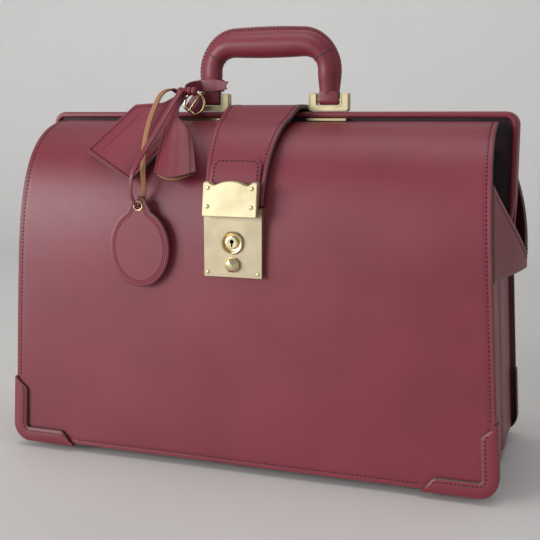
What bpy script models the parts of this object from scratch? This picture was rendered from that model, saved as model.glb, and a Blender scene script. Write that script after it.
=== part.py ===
"""Leather doctor bag with a hinged frame mouth, a lock strap, a carrying handle and hanging tags.

Metres, +Z up. The viewer in front of the lock looks along +Y, and +X is to the viewer's right.
Sizes are measured from the bag's own frame: y = 0 is the plane of the side pivots and z = 0 is the
bottom edge of the leather panels. The empty called bag moves that frame to the part's origin.
"""

import math

import bmesh
import bpy
from mathutils import Matrix, Vector

# Clearances
GAP = 0.0003
RUNNING = 0.0001

# Leather shell
PANEL_BOTTOM_WIDTH = 0.430
PANEL_TOP_WIDTH = 0.396
PANEL_TOP_Z = 0.2858
PANEL_TOP_Y = 0.0165
PANEL_Y = 0.090
PANEL_CORNER_R = 0.014
LEATHER = 0.0035
FOLD_Z = 0.156
SHOULDER_LOWER_PULL = 0.0674
SHOULDER_UPPER_PULL = 0.0664
SHOULDER_END_SLOPE = math.radians(4)
SHOULDER_STEPS = 14
GUSSET_INSET = 0.004
GUSSET_T = 0.003
GUSSET_TOP_Z = FOLD_Z + 0.080
HOOD_T = 0.0025
HOOD_TOP_Z = FOLD_Z + 0.089
HOOD_LOW_Z = FOLD_Z + 0.011
HOOD_APEX_X = PANEL_BOTTOM_WIDTH / 2 + 0.0065
HOOD_APEX_TOP_Z = HOOD_LOW_Z + 0.010
BASE_T = 0.0035
BASE_Z = 0.0019
BOARD_T = 0.002
LINING_T = 0.0012
LINING_TOP_Z = FOLD_Z - 0.006
STUD_HEIGHT = 0.007
STUD_R = 0.007
STUD_X = PANEL_BOTTOM_WIDTH / 2 - 0.055
STUD_Y = PANEL_Y - 0.035
GUARD_T = 0.0018
GUARD_ARM = 0.058
GUARD_WIDTH = 0.0115
GUARD_WRAP = 0.010

# Mouth frame
PIVOT_Z = FOLD_Z + 0.039
PIVOT_R = 0.002
EYE_R = 0.007
BAR_DEPTH = 0.011
BAR_CLEAR_Y = 0.0005
BAR_T = 0.0054
BAR_LOW_Z = PANEL_TOP_Z + 0.0026
BAR_TOP_Z = BAR_LOW_Z + BAR_T
FRAME_HALF = PANEL_BOTTOM_WIDTH / 2 - 0.002
FRAME_CORNER_R = 0.011
LEG_END_Z = PIVOT_Z + 0.011
RIVET_HEAD_R = 0.0035
RIVET_HEAD_T = 0.0012

# Handle
HANDLE_Y = -BAR_DEPTH / 2
HANDLE_PIN_Z = BAR_TOP_Z + 0.0097
HANDLE_PIN_R = 0.002
HANDLE_LEG_X = 0.0545
HANDLE_TOP_Z = HANDLE_PIN_Z + 0.0625
HANDLE_UNDER_Z = HANDLE_TOP_Z - 0.026
HANDLE_CORNER_R = 0.024
HANDLE_LEG_W = 0.0205
HANDLE_DEPTH = 0.022
HANDLE_LEG_DEPTH = 0.015
HANDLE_LEG_END_Z = HANDLE_PIN_Z + 0.019
TAB_W = 0.017
TAB_R = 0.0041
BRACKET_W = 0.035
BRACKET_POST = 0.007
BRACKET_DEPTH = 0.009
BRACKET_TOP_Z = HANDLE_PIN_Z + 0.006
BRACKET_BASE_T = 0.005
SADDLE_T = 0.0020

# Strap and hasp
STRAP_T = 0.0035
STRAP_TOP_HALF = HANDLE_LEG_X - BRACKET_W / 2 - 0.004
STRAP_END_HALF = 0.0245
STRAP_RISE = 0.0062
STRAP_OVER_BAR_Z = BAR_TOP_Z + 0.0041
STRAP_HINGE_Y = BAR_CLEAR_Y + BAR_DEPTH - 0.0025
STRAP_HINGE_Z = STRAP_OVER_BAR_Z + STRAP_T / 2
HASP_STAND = 0.0058
HASP_LIP = 0.0045
HASP_PLATE_T = 0.0018
HASP_HALF = 0.0232
HASP_LOW_Z = FOLD_Z + 0.0545
HASP_TOP_Z = HASP_LOW_Z + 0.0275
HASP_RIVET_R = 0.0014
PATCH_T = 0.0016
PATCH_HALF = 0.0215
PATCH_TOP_Z = HASP_LOW_Z + 0.0465

# Lock
LOCK_HALF = 0.0248
LOCK_LOW_Z = FOLD_Z + 0.005
LOCK_TOP_Z = LOCK_LOW_Z + 0.056
LOCK_FACE_Y = -PANEL_Y - 0.005
LOCK_PLATE_T = 0.0012
CASE_HALF = 0.016
CASE_LOW_Z = LOCK_LOW_Z + 0.003
CASE_TOP_Z = CASE_LOW_Z + 0.044
CASE_BACK_Y = LOCK_FACE_Y + 0.019
CASE_WALL = 0.0015
KEY_Z = LOCK_LOW_Z + 0.0282
PLUG_R = 0.0056
RING_R = 0.0093
RING_T = 0.0024
BUTTON_Z = LOCK_LOW_Z + 0.0103
BUTTON_R = 0.0064
BUTTON_STEM_R = 0.004
BUTTON_OUT = 0.006

# Tags
TAG_CLEAR = 0.0036
TAG_T = 0.003
NAME_TAG_W = 0.060
NAME_TAG_L = 0.076
NAME_TAG_SHOULDER = 0.060
NAME_TAG_TIP = 0.016
NAME_TAG_TURN = math.radians(-31.5)
BELL_T = 0.006
BELT_LOW_Z = HANDLE_PIN_Z + 0.008
BELT_T = 0.0022
KNOT_Y = HANDLE_Y - 0.0281
KNOT_Z = HANDLE_PIN_Z + 0.0075
KNOT_X = (-0.0195, -0.0025)
KNOT_R = 0.0039
TAG_STRAP_W = 0.013
TAG_STRAP_T = 0.0026
TAG_STRAP_Y = HANDLE_Y - 0.0098
BUCKLE_TILT = math.radians(-38)
BUCKLE_X = -0.0115
BUCKLE_Z = HANDLE_PIN_Z - 0.0032
BUCKLE_HALF = 0.0105
BUCKLE_WIRE = 0.0024
CHARM_W = 0.055
CHARM_H = 0.066
CHARM_X = -0.0285
CHARM_Y = -PANEL_Y - 0.007
EYELET_DROP = 0.0461
EYELET_R = 0.0042
LACE_R = 0.0016

# Resting place of the bag's own frame in the part's frame
FRONT_OVERHANG = 0.0062
ORIGIN = Vector((0.0, FRONT_OVERHANG, STUD_HEIGHT))

PARENTS = {
    "front_frame": "side_pivots",
    "back_frame": "side_pivots",
    "strap": "back_frame",
    "handle": "front_frame",
    "tag_hanger": "handle",
    "name_tag": "tag_hanger",
    "key_bell": "tag_hanger",
    "charm": "tag_hanger",
    "key_plug": "front_shoulder",
    "lock_bolt": "front_shoulder",
    "release_button": "front_shoulder",
}

LEATHER_RED = ("burgundy_leather", (0.20, 0.035, 0.050), 0.45, 0.0)
LEATHER_DARK = ("dark_leather", (0.12, 0.025, 0.035), 0.5, 0.0)
BRASS = ("pale_brass", (0.83, 0.69, 0.40), 0.25, 1.0)
STEEL = ("steel", (0.55, 0.55, 0.56), 0.35, 1.0)
CLOTH = ("lining_cloth", (0.30, 0.22, 0.16), 0.9, 0.0)
BOARD = ("fibre_board", (0.25, 0.18, 0.12), 0.9, 0.0)


def clear_scene():
    for old in list(bpy.data.objects):
        bpy.data.objects.remove(old, do_unlink=True)


def material(recipe):
    name, colour, roughness, metallic = recipe
    found = bpy.data.materials.get(name)
    if found:
        return found
    made = bpy.data.materials.new(name)
    made.use_nodes = True
    shader = made.node_tree.nodes["Principled BSDF"]
    shader.inputs["Base Color"].default_value = (*colour, 1.0)
    shader.inputs["Roughness"].default_value = roughness
    shader.inputs["Metallic"].default_value = metallic
    return made


def joint_points():
    """A point in the bag's frame on each body's joint axis."""
    pivot = (0, 0, PIVOT_Z)
    knot = (0, KNOT_Y, KNOT_Z)
    return {
        "body": (0, 0, 0),
        "front_shoulder": (0, -PANEL_Y, FOLD_Z),
        "back_shoulder": (0, PANEL_Y, FOLD_Z),
        "side_pivots": pivot,
        "front_frame": pivot,
        "back_frame": pivot,
        "strap": (0, STRAP_HINGE_Y, STRAP_HINGE_Z),
        "handle": (0, HANDLE_Y, HANDLE_PIN_Z),
        "tag_hanger": knot,
        "name_tag": knot,
        "key_bell": knot,
        "charm": knot,
        "key_plug": (0, LOCK_FACE_Y, KEY_Z),
        "lock_bolt": (0, CASE_BACK_Y, KEY_Z),
        "release_button": (0, LOCK_FACE_Y, BUTTON_Z),
    }


def make_bodies():
    """One empty on each joint axis, so that a moving piece turns about its parent."""
    empties = {}
    for name, place in JOINTS.items():
        empty = bpy.data.objects.new("axis_" + name, None)
        bpy.context.scene.collection.objects.link(empty)
        parent = PARENTS.get(name, "body")
        if name == "body":
            empty.location = ORIGIN
        else:
            empty.parent = empties[parent]
            empty.location = Vector(place) - Vector(JOINTS[parent])
        empties[name] = empty
    return empties


def place(name, points, faces, recipe, body, smooth=False):
    """A mesh object whose points are given in the bag's frame, parented to its body's axis."""
    mesh = bpy.data.meshes.new(name)
    mesh.from_pydata([tuple(p) for p in points], [], faces)
    shape = bmesh.new()
    shape.from_mesh(mesh)
    bmesh.ops.recalc_face_normals(shape, faces=shape.faces)
    shape.to_mesh(mesh)
    shape.free()
    mesh.materials.append(material(recipe))
    if smooth:
        mesh.shade_smooth()
        mesh.set_sharp_from_angle(angle=math.radians(35))
    made = bpy.data.objects.new(name, mesh)
    bpy.context.scene.collection.objects.link(made)
    made.parent = BODIES[body]
    made.location = -Vector(JOINTS[body])
    return made


def lofted(name, loops, recipe, body, smooth=False):
    """A closed solid through loops that all have the same number of points."""
    count = len(loops[0])
    points = [p for loop in loops for p in loop]
    faces = [tuple(range(count)), tuple(range(len(points) - count, len(points)))]
    for row in range(len(loops) - 1):
        for i in range(count):
            j = (i + 1) % count
            low = row * count
            high = low + count
            faces.append((low + i, low + j, high + j, high + i))
    return place(name, points, faces, recipe, body, smooth)


def prism(name, outline, axis, low, high, recipe, body, smooth=False):
    """An outline in the plane across the axis, extruded from low to high along it."""
    def lift(pair, along):
        u, v = pair
        return {"X": (along, u, v), "Y": (u, along, v), "Z": (u, v, along)}[axis]

    loops = [[lift(pair, along) for pair in outline] for along in (low, high)]
    return lofted(name, loops, recipe, body, smooth)


def box(name, low, high, recipe, body):
    outline = [(low[0], low[1]), (high[0], low[1]), (high[0], high[1]), (low[0], high[1])]
    return prism(name, outline, "Z", low[2], high[2], recipe, body)


def arc(cx, cy, radius, start, end, steps):
    """Points on an arc, angles in degrees."""
    turns = [math.radians(start + (end - start) * i / steps) for i in range(steps + 1)]
    return [(cx + radius * math.cos(t), cy + radius * math.sin(t)) for t in turns]


def disc(name, axis, centre, radius, low, high, recipe, body, sides=16):
    outline = arc(centre[0], centre[1], radius, 0, 360 - 360 / sides, sides - 1)
    return prism(name, outline, axis, low, high, recipe, body, smooth=True)


def combine(base, tool, operation):
    """Cuts the tool from the base or joins it to the base, and hides the tool."""
    change = base.modifiers.new(tool.name, "BOOLEAN")
    change.operation = operation
    change.object = tool
    change.solver = "EXACT"
    tool.hide_render = True
    tool.display_type = "WIRE"


def half_width(z):
    """Half the panel's width at a height: the side edges lean inwards."""
    return (PANEL_BOTTOM_WIDTH + (PANEL_TOP_WIDTH - PANEL_BOTTOM_WIDTH) * z / PANEL_TOP_Z) / 2


def corner_edge(z):
    """The panel's half width on its rounded bottom corner."""
    r = PANEL_CORNER_R
    return half_width(r) - r + math.sqrt(r**2 - (r - z) ** 2)


def shoulder(inset=0.0, steps=SHOULDER_STEPS):
    """Points (distance from the pivot plane, z) up the curved upper panel, inset from its outer face."""
    start = Vector((PANEL_Y, FOLD_Z))
    end = Vector((PANEL_TOP_Y, PANEL_TOP_Z))
    lower = start + Vector((0, SHOULDER_LOWER_PULL))
    rise = Vector((math.cos(SHOULDER_END_SLOPE), -math.sin(SHOULDER_END_SLOPE)))
    upper = end + SHOULDER_UPPER_PULL * rise
    points = []
    for i in range(steps + 1):
        t = i / steps
        u = 1 - t
        here = u**3 * start + 3 * u * u * t * lower + 3 * u * t * t * upper + t**3 * end
        along = u * u * (lower - start) + 2 * u * t * (upper - lower) + t * t * (end - upper)
        along.normalize()
        inward = Vector((-along.y, along.x))
        points.append(here + inset * inward)
    return points


def shoulder_depth(z):
    """The distance of the upper panel's outer face from the pivot plane at a height."""
    points = shoulder(steps=60)
    for low, high in zip(points, points[1:]):
        if low.y <= z <= high.y:
            return low.x + (high.x - low.x) * (z - low.y) / (high.y - low.y)
    return PANEL_Y if z < FOLD_Z else PANEL_TOP_Y


def lower_panel(name, side):
    top = FOLD_Z - GAP / 2
    r = PANEL_CORNER_R
    half = half_width(r)
    outline = arc(half - r, r, r, -90, 0, 5)
    outline += [(half_width(top), top), (-half_width(top), top)]
    outline += arc(r - half, r, r, 180, 270, 5)
    prism(name, outline, "Y", side * (PANEL_Y - LEATHER), side * PANEL_Y, LEATHER_RED, "body")


def upper_panel(name, side, body):
    loops = []
    for outer, inner in zip(shoulder(), shoulder(LEATHER)):
        lift = max(0.0, FOLD_Z + GAP / 2 - outer.y)
        reach = half_width(outer.y)
        ring = [(-reach, outer), (reach, outer), (reach, inner), (-reach, inner)]
        loops.append([(x, side * p.x, p.y + lift) for x, p in ring])
    return lofted(name, loops, LEATHER_RED, body)


def gusset(name, hand):
    """The recessed end wall: it rises inside the hoods, within the closed shoulders."""
    inner = [p for p in shoulder(LEATHER + 0.001) if p.y < GUSSET_TOP_Z]
    side = PANEL_Y - LEATHER - GAP
    r = PANEL_CORNER_R
    heights = [r * i / 56 for i in range(57)]
    low = next(z for z in heights if corner_edge(z) - GAP / 2 >= half_width(z) - GUSSET_INSET)
    front = [(-side, low), (-side, FOLD_Z - 0.004)] + [(-p.x, p.y) for p in inner[1:]]
    outline = front + [(-y, z) for y, z in reversed(front)]
    loops = []
    for inset in (GUSSET_INSET, GUSSET_INSET + GUSSET_T):
        loops.append([(hand * (half_width(z) - inset), y, z) for y, z in outline])
    lofted(name, loops, LEATHER_DARK, "body")


def hood(name, hand, side, body):
    """A wing of the folded gusset: it spreads from the panel's side edge to the outer corner."""
    def edge(z):
        return Vector((hand * (half_width(z) + GAP), side * (shoulder_depth(z) - 0.002), z))

    tip_y = side * GAP
    inner = [
        edge(HOOD_TOP_Z),
        edge(HOOD_LOW_Z),
        Vector((hand * HOOD_APEX_X, tip_y, HOOD_LOW_Z)),
        Vector((hand * HOOD_APEX_X, tip_y, HOOD_APEX_TOP_Z)),
    ]
    out = Vector((hand * HOOD_T, 0, 0))
    lofted(name, [inner, [p + out for p in inner]], LEATHER_RED, body)


def corner_guard(name, hand, side):
    """A shaped leather corner: a face on the panel and a lip round the panel's edge."""
    r = PANEL_CORNER_R
    w = GUARD_WIDTH

    def path(offset, first, last):
        """Down the side edge, round the corner and along the bottom, moved out by the offset."""
        turn = arc(half - r, r, r + offset, 0, -90, 6)
        return [(half_width(first) + offset, first)] + turn + [(half - last, -offset)]

    half = half_width(r)
    outer = path(GUARD_T, GUARD_ARM, GUARD_ARM)
    inner = [
        (half - GUARD_ARM, 0.001),
        (half - GUARD_ARM + 0.006, w),
        (half - w - 0.006, w),
        (half_width(w) - w, w + 0.006),
        (half_width(GUARD_ARM) - w, GUARD_ARM - 0.007),
        (half_width(GUARD_ARM) - 0.001, GUARD_ARM),
    ]
    face_in = PANEL_Y + GAP
    face_out = face_in + GUARD_T

    def sided(outline):
        return [(hand * x, z) for x, z in outline]

    face = prism(name, sided(outer + inner), "Y", side * face_in, side * face_out, LEATHER_RED, "body")
    band = path(GUARD_T - RUNNING, GUARD_ARM - GAP, GUARD_ARM - GAP)
    band += list(reversed(path(GAP, GUARD_ARM - GAP, GUARD_ARM - GAP)))
    lip_end = side * (PANEL_Y - GUARD_WRAP)
    lip = prism(name + "_lip", sided(band), "Y", side * (face_in + GUARD_T / 2), lip_end, LEATHER_RED, "body")
    combine(face, lip, "UNION")


def base_and_lining():
    half = corner_edge(BASE_Z) - GAP / 2
    wall = PANEL_Y - LEATHER - GAP
    top = BASE_Z + BASE_T
    box("base_panel", (-half, -wall, BASE_Z), (half, wall, top), LEATHER_RED, "body")
    board_top = top + GAP + BOARD_T
    tray_half = half_width(LINING_TOP_Z) - GUSSET_INSET - GUSSET_T - 0.003
    board = (tray_half + 0.003, wall - 0.001)
    box("base_board", (-board[0], -board[1], top + GAP), (board[0], board[1], board_top), BOARD, "body")
    x, y, low = tray_half, wall - GAP, board_top + GAP
    tray = box("lining", (-x, -y, low), (x, y, LINING_TOP_Z), CLOTH, "body")
    t = LINING_T
    hollow = box("lining_hollow", (t - x, t - y, low + t), (x - t, y - t, LINING_TOP_Z + t), CLOTH, "body")
    combine(tray, hollow, "DIFFERENCE")
    for hand, left_right in ((-1, "left"), (1, "right")):
        for side, end in ((-1, "front"), (1, "back")):
            spot = (hand * STUD_X, side * STUD_Y)
            name = f"base_stud_{end}_{left_right}"
            disc(name, "Z", spot, STUD_R, -STUD_HEIGHT, BASE_Z - GAP, BRASS, "body")


def frame_half(name, side, body):
    """A U of leather-covered steel whose two eyes turn on the side pivots."""
    reach, inner, r = FRAME_HALF, FRAME_HALF - BAR_T, FRAME_CORNER_R
    outline = [(reach, LEG_END_Z)] + arc(reach - r, BAR_TOP_Z - r, r, 0, 90, 5)
    outline += arc(r - reach, BAR_TOP_Z - r, r, 90, 180, 5) + [(-reach, LEG_END_Z), (-inner, LEG_END_Z)]
    small = r - BAR_T
    outline += arc(small - inner, BAR_LOW_Z - small, small, 180, 90, 4)
    outline += arc(inner - small, BAR_LOW_Z - small, small, 90, 0, 4) + [(inner, LEG_END_Z)]
    near, far = side * BAR_CLEAR_Y, side * (BAR_CLEAR_Y + BAR_DEPTH)
    frame = prism(name, outline, "Y", near, far, LEATHER_RED, body)
    trim = 0.0002
    stem = [(near + side * trim, LEG_END_Z + 0.004), (far - side * trim, LEG_END_Z + 0.004)]
    stem.append((far - side * trim, LEG_END_Z - 0.004))
    turn = arc(0, PIVOT_Z, EYE_R, 0 if side > 0 else 180, -180 if side > 0 else 360, 9)
    eye_outline = stem + turn + [(near + side * trim, PIVOT_Z + EYE_R)]
    split = FRAME_HALF - BAR_T / 2
    low, high = (inner + trim, split - GAP / 2) if side < 0 else (split + GAP / 2, reach - trim)
    for hand, left_right in ((-1, "left"), (1, "right")):
        eye = prism(f"{name}_eye_{left_right}", eye_outline, "X", hand * low, hand * high, STEEL, body)
        combine(frame, eye, "UNION")
        hole = (0, PIVOT_Z)
        cutter = disc(
            f"{name}_hole_{left_right}", "X", hole, PIVOT_R + RUNNING, hand * (low - GAP), hand * (high + GAP),
            STEEL, body,
        )
        combine(frame, cutter, "DIFFERENCE")


def side_pivots():
    for hand, left_right in ((-1, "left"), (1, "right")):
        centre = (0, PIVOT_Z)
        start = FRAME_HALF - BAR_T - RIVET_HEAD_T
        face = FRAME_HALF + GAP
        name = f"pivot_rivet_{left_right}"
        pin = disc(name, "X", centre, PIVOT_R, hand * start, hand * (face + RIVET_HEAD_T / 2), BRASS, "side_pivots")
        head = disc(
            name + "_head", "X", centre, RIVET_HEAD_R, hand * face, hand * (face + RIVET_HEAD_T), BRASS, "side_pivots"
        )
        combine(pin, head, "UNION")


def handle_mount(hand, left_right):
    """A brass bracket with its pin on the bar, and the saddle that clamps it from below."""
    x, half = hand * HANDLE_LEG_X, BRACKET_W / 2
    slot = half - BRACKET_POST
    low, top = BAR_TOP_Z + GAP, BRACKET_TOP_Z
    floor = low + BRACKET_BASE_T
    outline = [(x - half, low), (x + half, low), (x + half, top), (x + slot, top)]
    outline += [(x + slot, floor), (x - slot, floor), (x - slot, top), (x - half, top)]
    y = (HANDLE_Y - BRACKET_DEPTH / 2, HANDLE_Y + BRACKET_DEPTH / 2)
    bracket = prism(f"handle_bracket_{left_right}", outline, "Y", y[0], y[1], BRASS, "front_frame")
    axis = (HANDLE_Y, HANDLE_PIN_Z)
    ends = (x - half + GAP, x + half - GAP)
    disc(f"handle_pin_{left_right}", "X", axis, HANDLE_PIN_R, ends[0], ends[1], BRASS, "front_frame", sides=12)
    reach = half + GAP
    hole = disc(
        f"bracket_hole_{left_right}", "X", axis, HANDLE_PIN_R + 2 * RUNNING, x - reach, x + reach, BRASS,
        "front_frame", sides=12,
    )
    combine(bracket, hole, "DIFFERENCE")
    under = BAR_LOW_Z - GAP
    strip = (-PANEL_TOP_Y + 0.0008, HANDLE_Y + 0.0025)
    box(
        f"bracket_saddle_{left_right}", (x - half, strip[0], under - SADDLE_T), (x + half, strip[1], under),
        BRASS, "front_frame",
    )


def handle_tab(hand, left_right):
    """The leather loop that hangs the handle on its pin."""
    x = hand * HANDLE_LEG_X
    top = HANDLE_LEG_END_Z - GAP
    outline = arc(HANDLE_Y, HANDLE_PIN_Z, TAB_R, 180, 360, 8)
    outline += [(HANDLE_Y + TAB_R, top), (HANDLE_Y - TAB_R, top)]
    tab = prism(f"handle_tab_{left_right}", outline, "X", x - TAB_W / 2, x + TAB_W / 2, LEATHER_RED, "handle")
    axis = (HANDLE_Y, HANDLE_PIN_Z)
    reach = TAB_W / 2 + GAP
    hole = disc(
        f"tab_hole_{left_right}", "X", axis, HANDLE_PIN_R + 2 * RUNNING, x - reach, x + reach, LEATHER_RED,
        "handle", sides=12,
    )
    combine(tab, hole, "DIFFERENCE")


def handle_grip():
    """An arched grip: an oval section swept up one leg, over the top and down the other."""
    mid_z = (HANDLE_TOP_Z + HANDLE_UNDER_Z) / 2
    r = HANDLE_CORNER_R
    x = HANDLE_LEG_X
    right = [(x, HANDLE_LEG_END_Z), (x, HANDLE_LEG_END_Z + 0.003)] + arc(x - r, mid_z - r, r, 0, 90, 6)
    path = right + [(0.0, mid_z + 0.0005)] + [(-px, pz) for px, pz in reversed(right)]
    loops = []
    for i, (px, pz) in enumerate(path):
        before, after = path[max(i - 1, 0)], path[min(i + 1, len(path) - 1)]
        along = Vector((after[0] - before[0], after[1] - before[1])).normalized()
        across = Vector((along.y, -along.x))
        level = min(1.0, max(0.0, (pz - HANDLE_LEG_END_Z) / (mid_z - HANDLE_LEG_END_Z)))
        half_in = (HANDLE_LEG_W + (HANDLE_TOP_Z - HANDLE_UNDER_Z - HANDLE_LEG_W) * level) / 2
        half_out = (HANDLE_LEG_DEPTH + (HANDLE_DEPTH - HANDLE_LEG_DEPTH) * level) / 2
        ring = []
        for u, v in arc(0, 0, 1, 0, 330, 11):
            spread = across * (u * half_in)
            ring.append((px + spread.x, HANDLE_Y + v * half_out, pz + spread.y))
        loops.append(ring)
    lofted("handle_grip", loops, LEATHER_RED, "handle", smooth=True)


def strap_line():
    """The strap's middle line (y, z) from the lock end, up the shoulder, over both bars to its hinge."""
    low = HASP_LOW_Z + 0.009
    line = [(-p.x, p.y) for p in shoulder(-STRAP_RISE, 24) if p.y > low and p.x > PANEL_TOP_Y + 0.022]
    slope = (line[1][1] - line[0][1]) / (line[1][0] - line[0][0])
    line.insert(0, (line[0][0] - (line[0][1] - low) / slope, low))
    line += [(-PANEL_TOP_Y - 0.0055, STRAP_OVER_BAR_Z - 0.0015), (-0.008, STRAP_OVER_BAR_Z)]
    return line + [(STRAP_HINGE_Y - GAP, STRAP_OVER_BAR_Z)]


def outward(line, i):
    """The direction across a line in the YZ plane at one of its points, towards its outer side."""
    before, after = line[max(i - 1, 0)], line[min(i + 1, len(line) - 1)]
    along = Vector((after[0] - before[0], after[1] - before[1])).normalized()
    return Vector((-along.y, along.x))


def patch_face(z):
    """The y, at a height, of a surface that clears the outer face of the strap's end patch."""
    line = strap_line()
    lift = STRAP_T / 2 + PATCH_T + 2 * GAP
    rows = [Vector(p) + lift * outward(line, i) for i, p in enumerate(line)]
    low, high = next(pair for pair in zip(rows, rows[1:]) if z <= pair[1].y)
    return low.x + (high.x - low.x) * (z - low.y) / (high.y - low.y)


def hasp_face():
    """The y of the hasp plate's front, which stands off the strap's end patch."""
    return patch_face(HASP_LOW_Z) - HASP_STAND


def ribbon(name, line, halves, thickness, lift, recipe, body):
    """A strip of even thickness along a line in the YZ plane, lifted off it along its outer side."""
    loops = []
    for i, (y, z) in enumerate(line):
        out = outward(line, i)
        near = Vector((y, z)) + out * (lift - thickness / 2)
        far = near + out * thickness
        w = halves[i]
        loops.append([(-w, *near), (w, *near), (w, *far), (-w, *far)])
    return lofted(name, loops, recipe, body)


def strap():
    line = strap_line()
    count = len(line) - 1
    widen = (STRAP_TOP_HALF - STRAP_END_HALF) / (count - 2)
    halves = [min(STRAP_TOP_HALF, STRAP_END_HALF + widen * max(0, i - 1)) for i in range(len(line))]
    ribbon("strap", line, halves, STRAP_T, 0.0, LEATHER_RED, "strap")
    patch = [(y, z) for y, z in line if z <= PATCH_TOP_Z]
    widths = [PATCH_HALF] * (len(patch) - 1) + [PATCH_HALF - 0.006]
    lift = STRAP_T / 2 + GAP + PATCH_T / 2
    ribbon("strap_patch", patch, widths, PATCH_T, lift, LEATHER_RED, "strap")
    back, top = BAR_CLEAR_Y + BAR_DEPTH, STRAP_OVER_BAR_Z
    tail = [(STRAP_HINGE_Y + GAP, top), (back - 0.0007, top - 0.0001), (back + 0.0015, top - 0.0016)]
    tail += [(back + 0.0025, top - 0.0048), (back + 0.0026, BAR_LOW_Z)]
    ribbon("strap_tail", tail, [STRAP_TOP_HALF] * len(tail), STRAP_T, 0.0, LEATHER_RED, "back_frame")
    for hand, left_right in ((-1, "left"), (1, "right")):
        spot = (hand * STRAP_TOP_HALF * 0.6, BAR_LOW_Z + 0.0035)
        face = back + 0.0046
        disc(f"strap_rivet_{left_right}", "Y", spot, RIVET_HEAD_R, face, face + RIVET_HEAD_T, BRASS, "back_frame", 12)


def hasp():
    """A brass plate with a waved top edge on a wedge that meets the strap's end patch."""
    h, top = HASP_HALF, HASP_TOP_Z
    wave = []
    for i in range(13):
        u = i / 6 - 1
        dip = -0.0024 * (0.5 + 0.5 * math.cos(2 * math.pi * (abs(u) - 0.62) / 0.62)) if abs(u) > 0.31 else 0.0
        wave.append((h * -u, top + dip + (0.0006 if abs(u) < 0.2 else 0.0)))
    outline = [(-h, HASP_LOW_Z), (h, HASP_LOW_Z)] + wave
    front = hasp_face()
    back, inner = front + HASP_PLATE_T, front + HASP_LIP
    plate = prism("hasp_plate", outline, "Y", front, back, BRASS, "strap")
    wedge = [
        (back - HASP_PLATE_T / 2, HASP_LOW_Z + 0.0240), (back - HASP_PLATE_T / 2, HASP_LOW_Z + 0.0005),
        (inner, HASP_LOW_Z + 0.0005), (inner, HASP_LOW_Z + 0.0080),
    ]
    wedge += [(patch_face(HASP_LOW_Z + up), HASP_LOW_Z + up) for up in (0.0100, 0.0165, 0.0235)]
    block = prism("hasp_wedge", wedge, "X", 0.003 - h, h - 0.003, BRASS, "strap")
    combine(plate, block, "UNION")
    for index, (hand, up) in enumerate(((-1, 0.023), (1, 0.023), (-1, 0.008), (1, 0.008)), start=1):
        spot = (hand * (h - 0.0045), HASP_LOW_Z + up)
        face = front - GAP
        disc(f"hasp_rivet_{index}", "Y", spot, HASP_RIVET_R, face - 0.0006, face, BRASS, "strap", sides=10)


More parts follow.
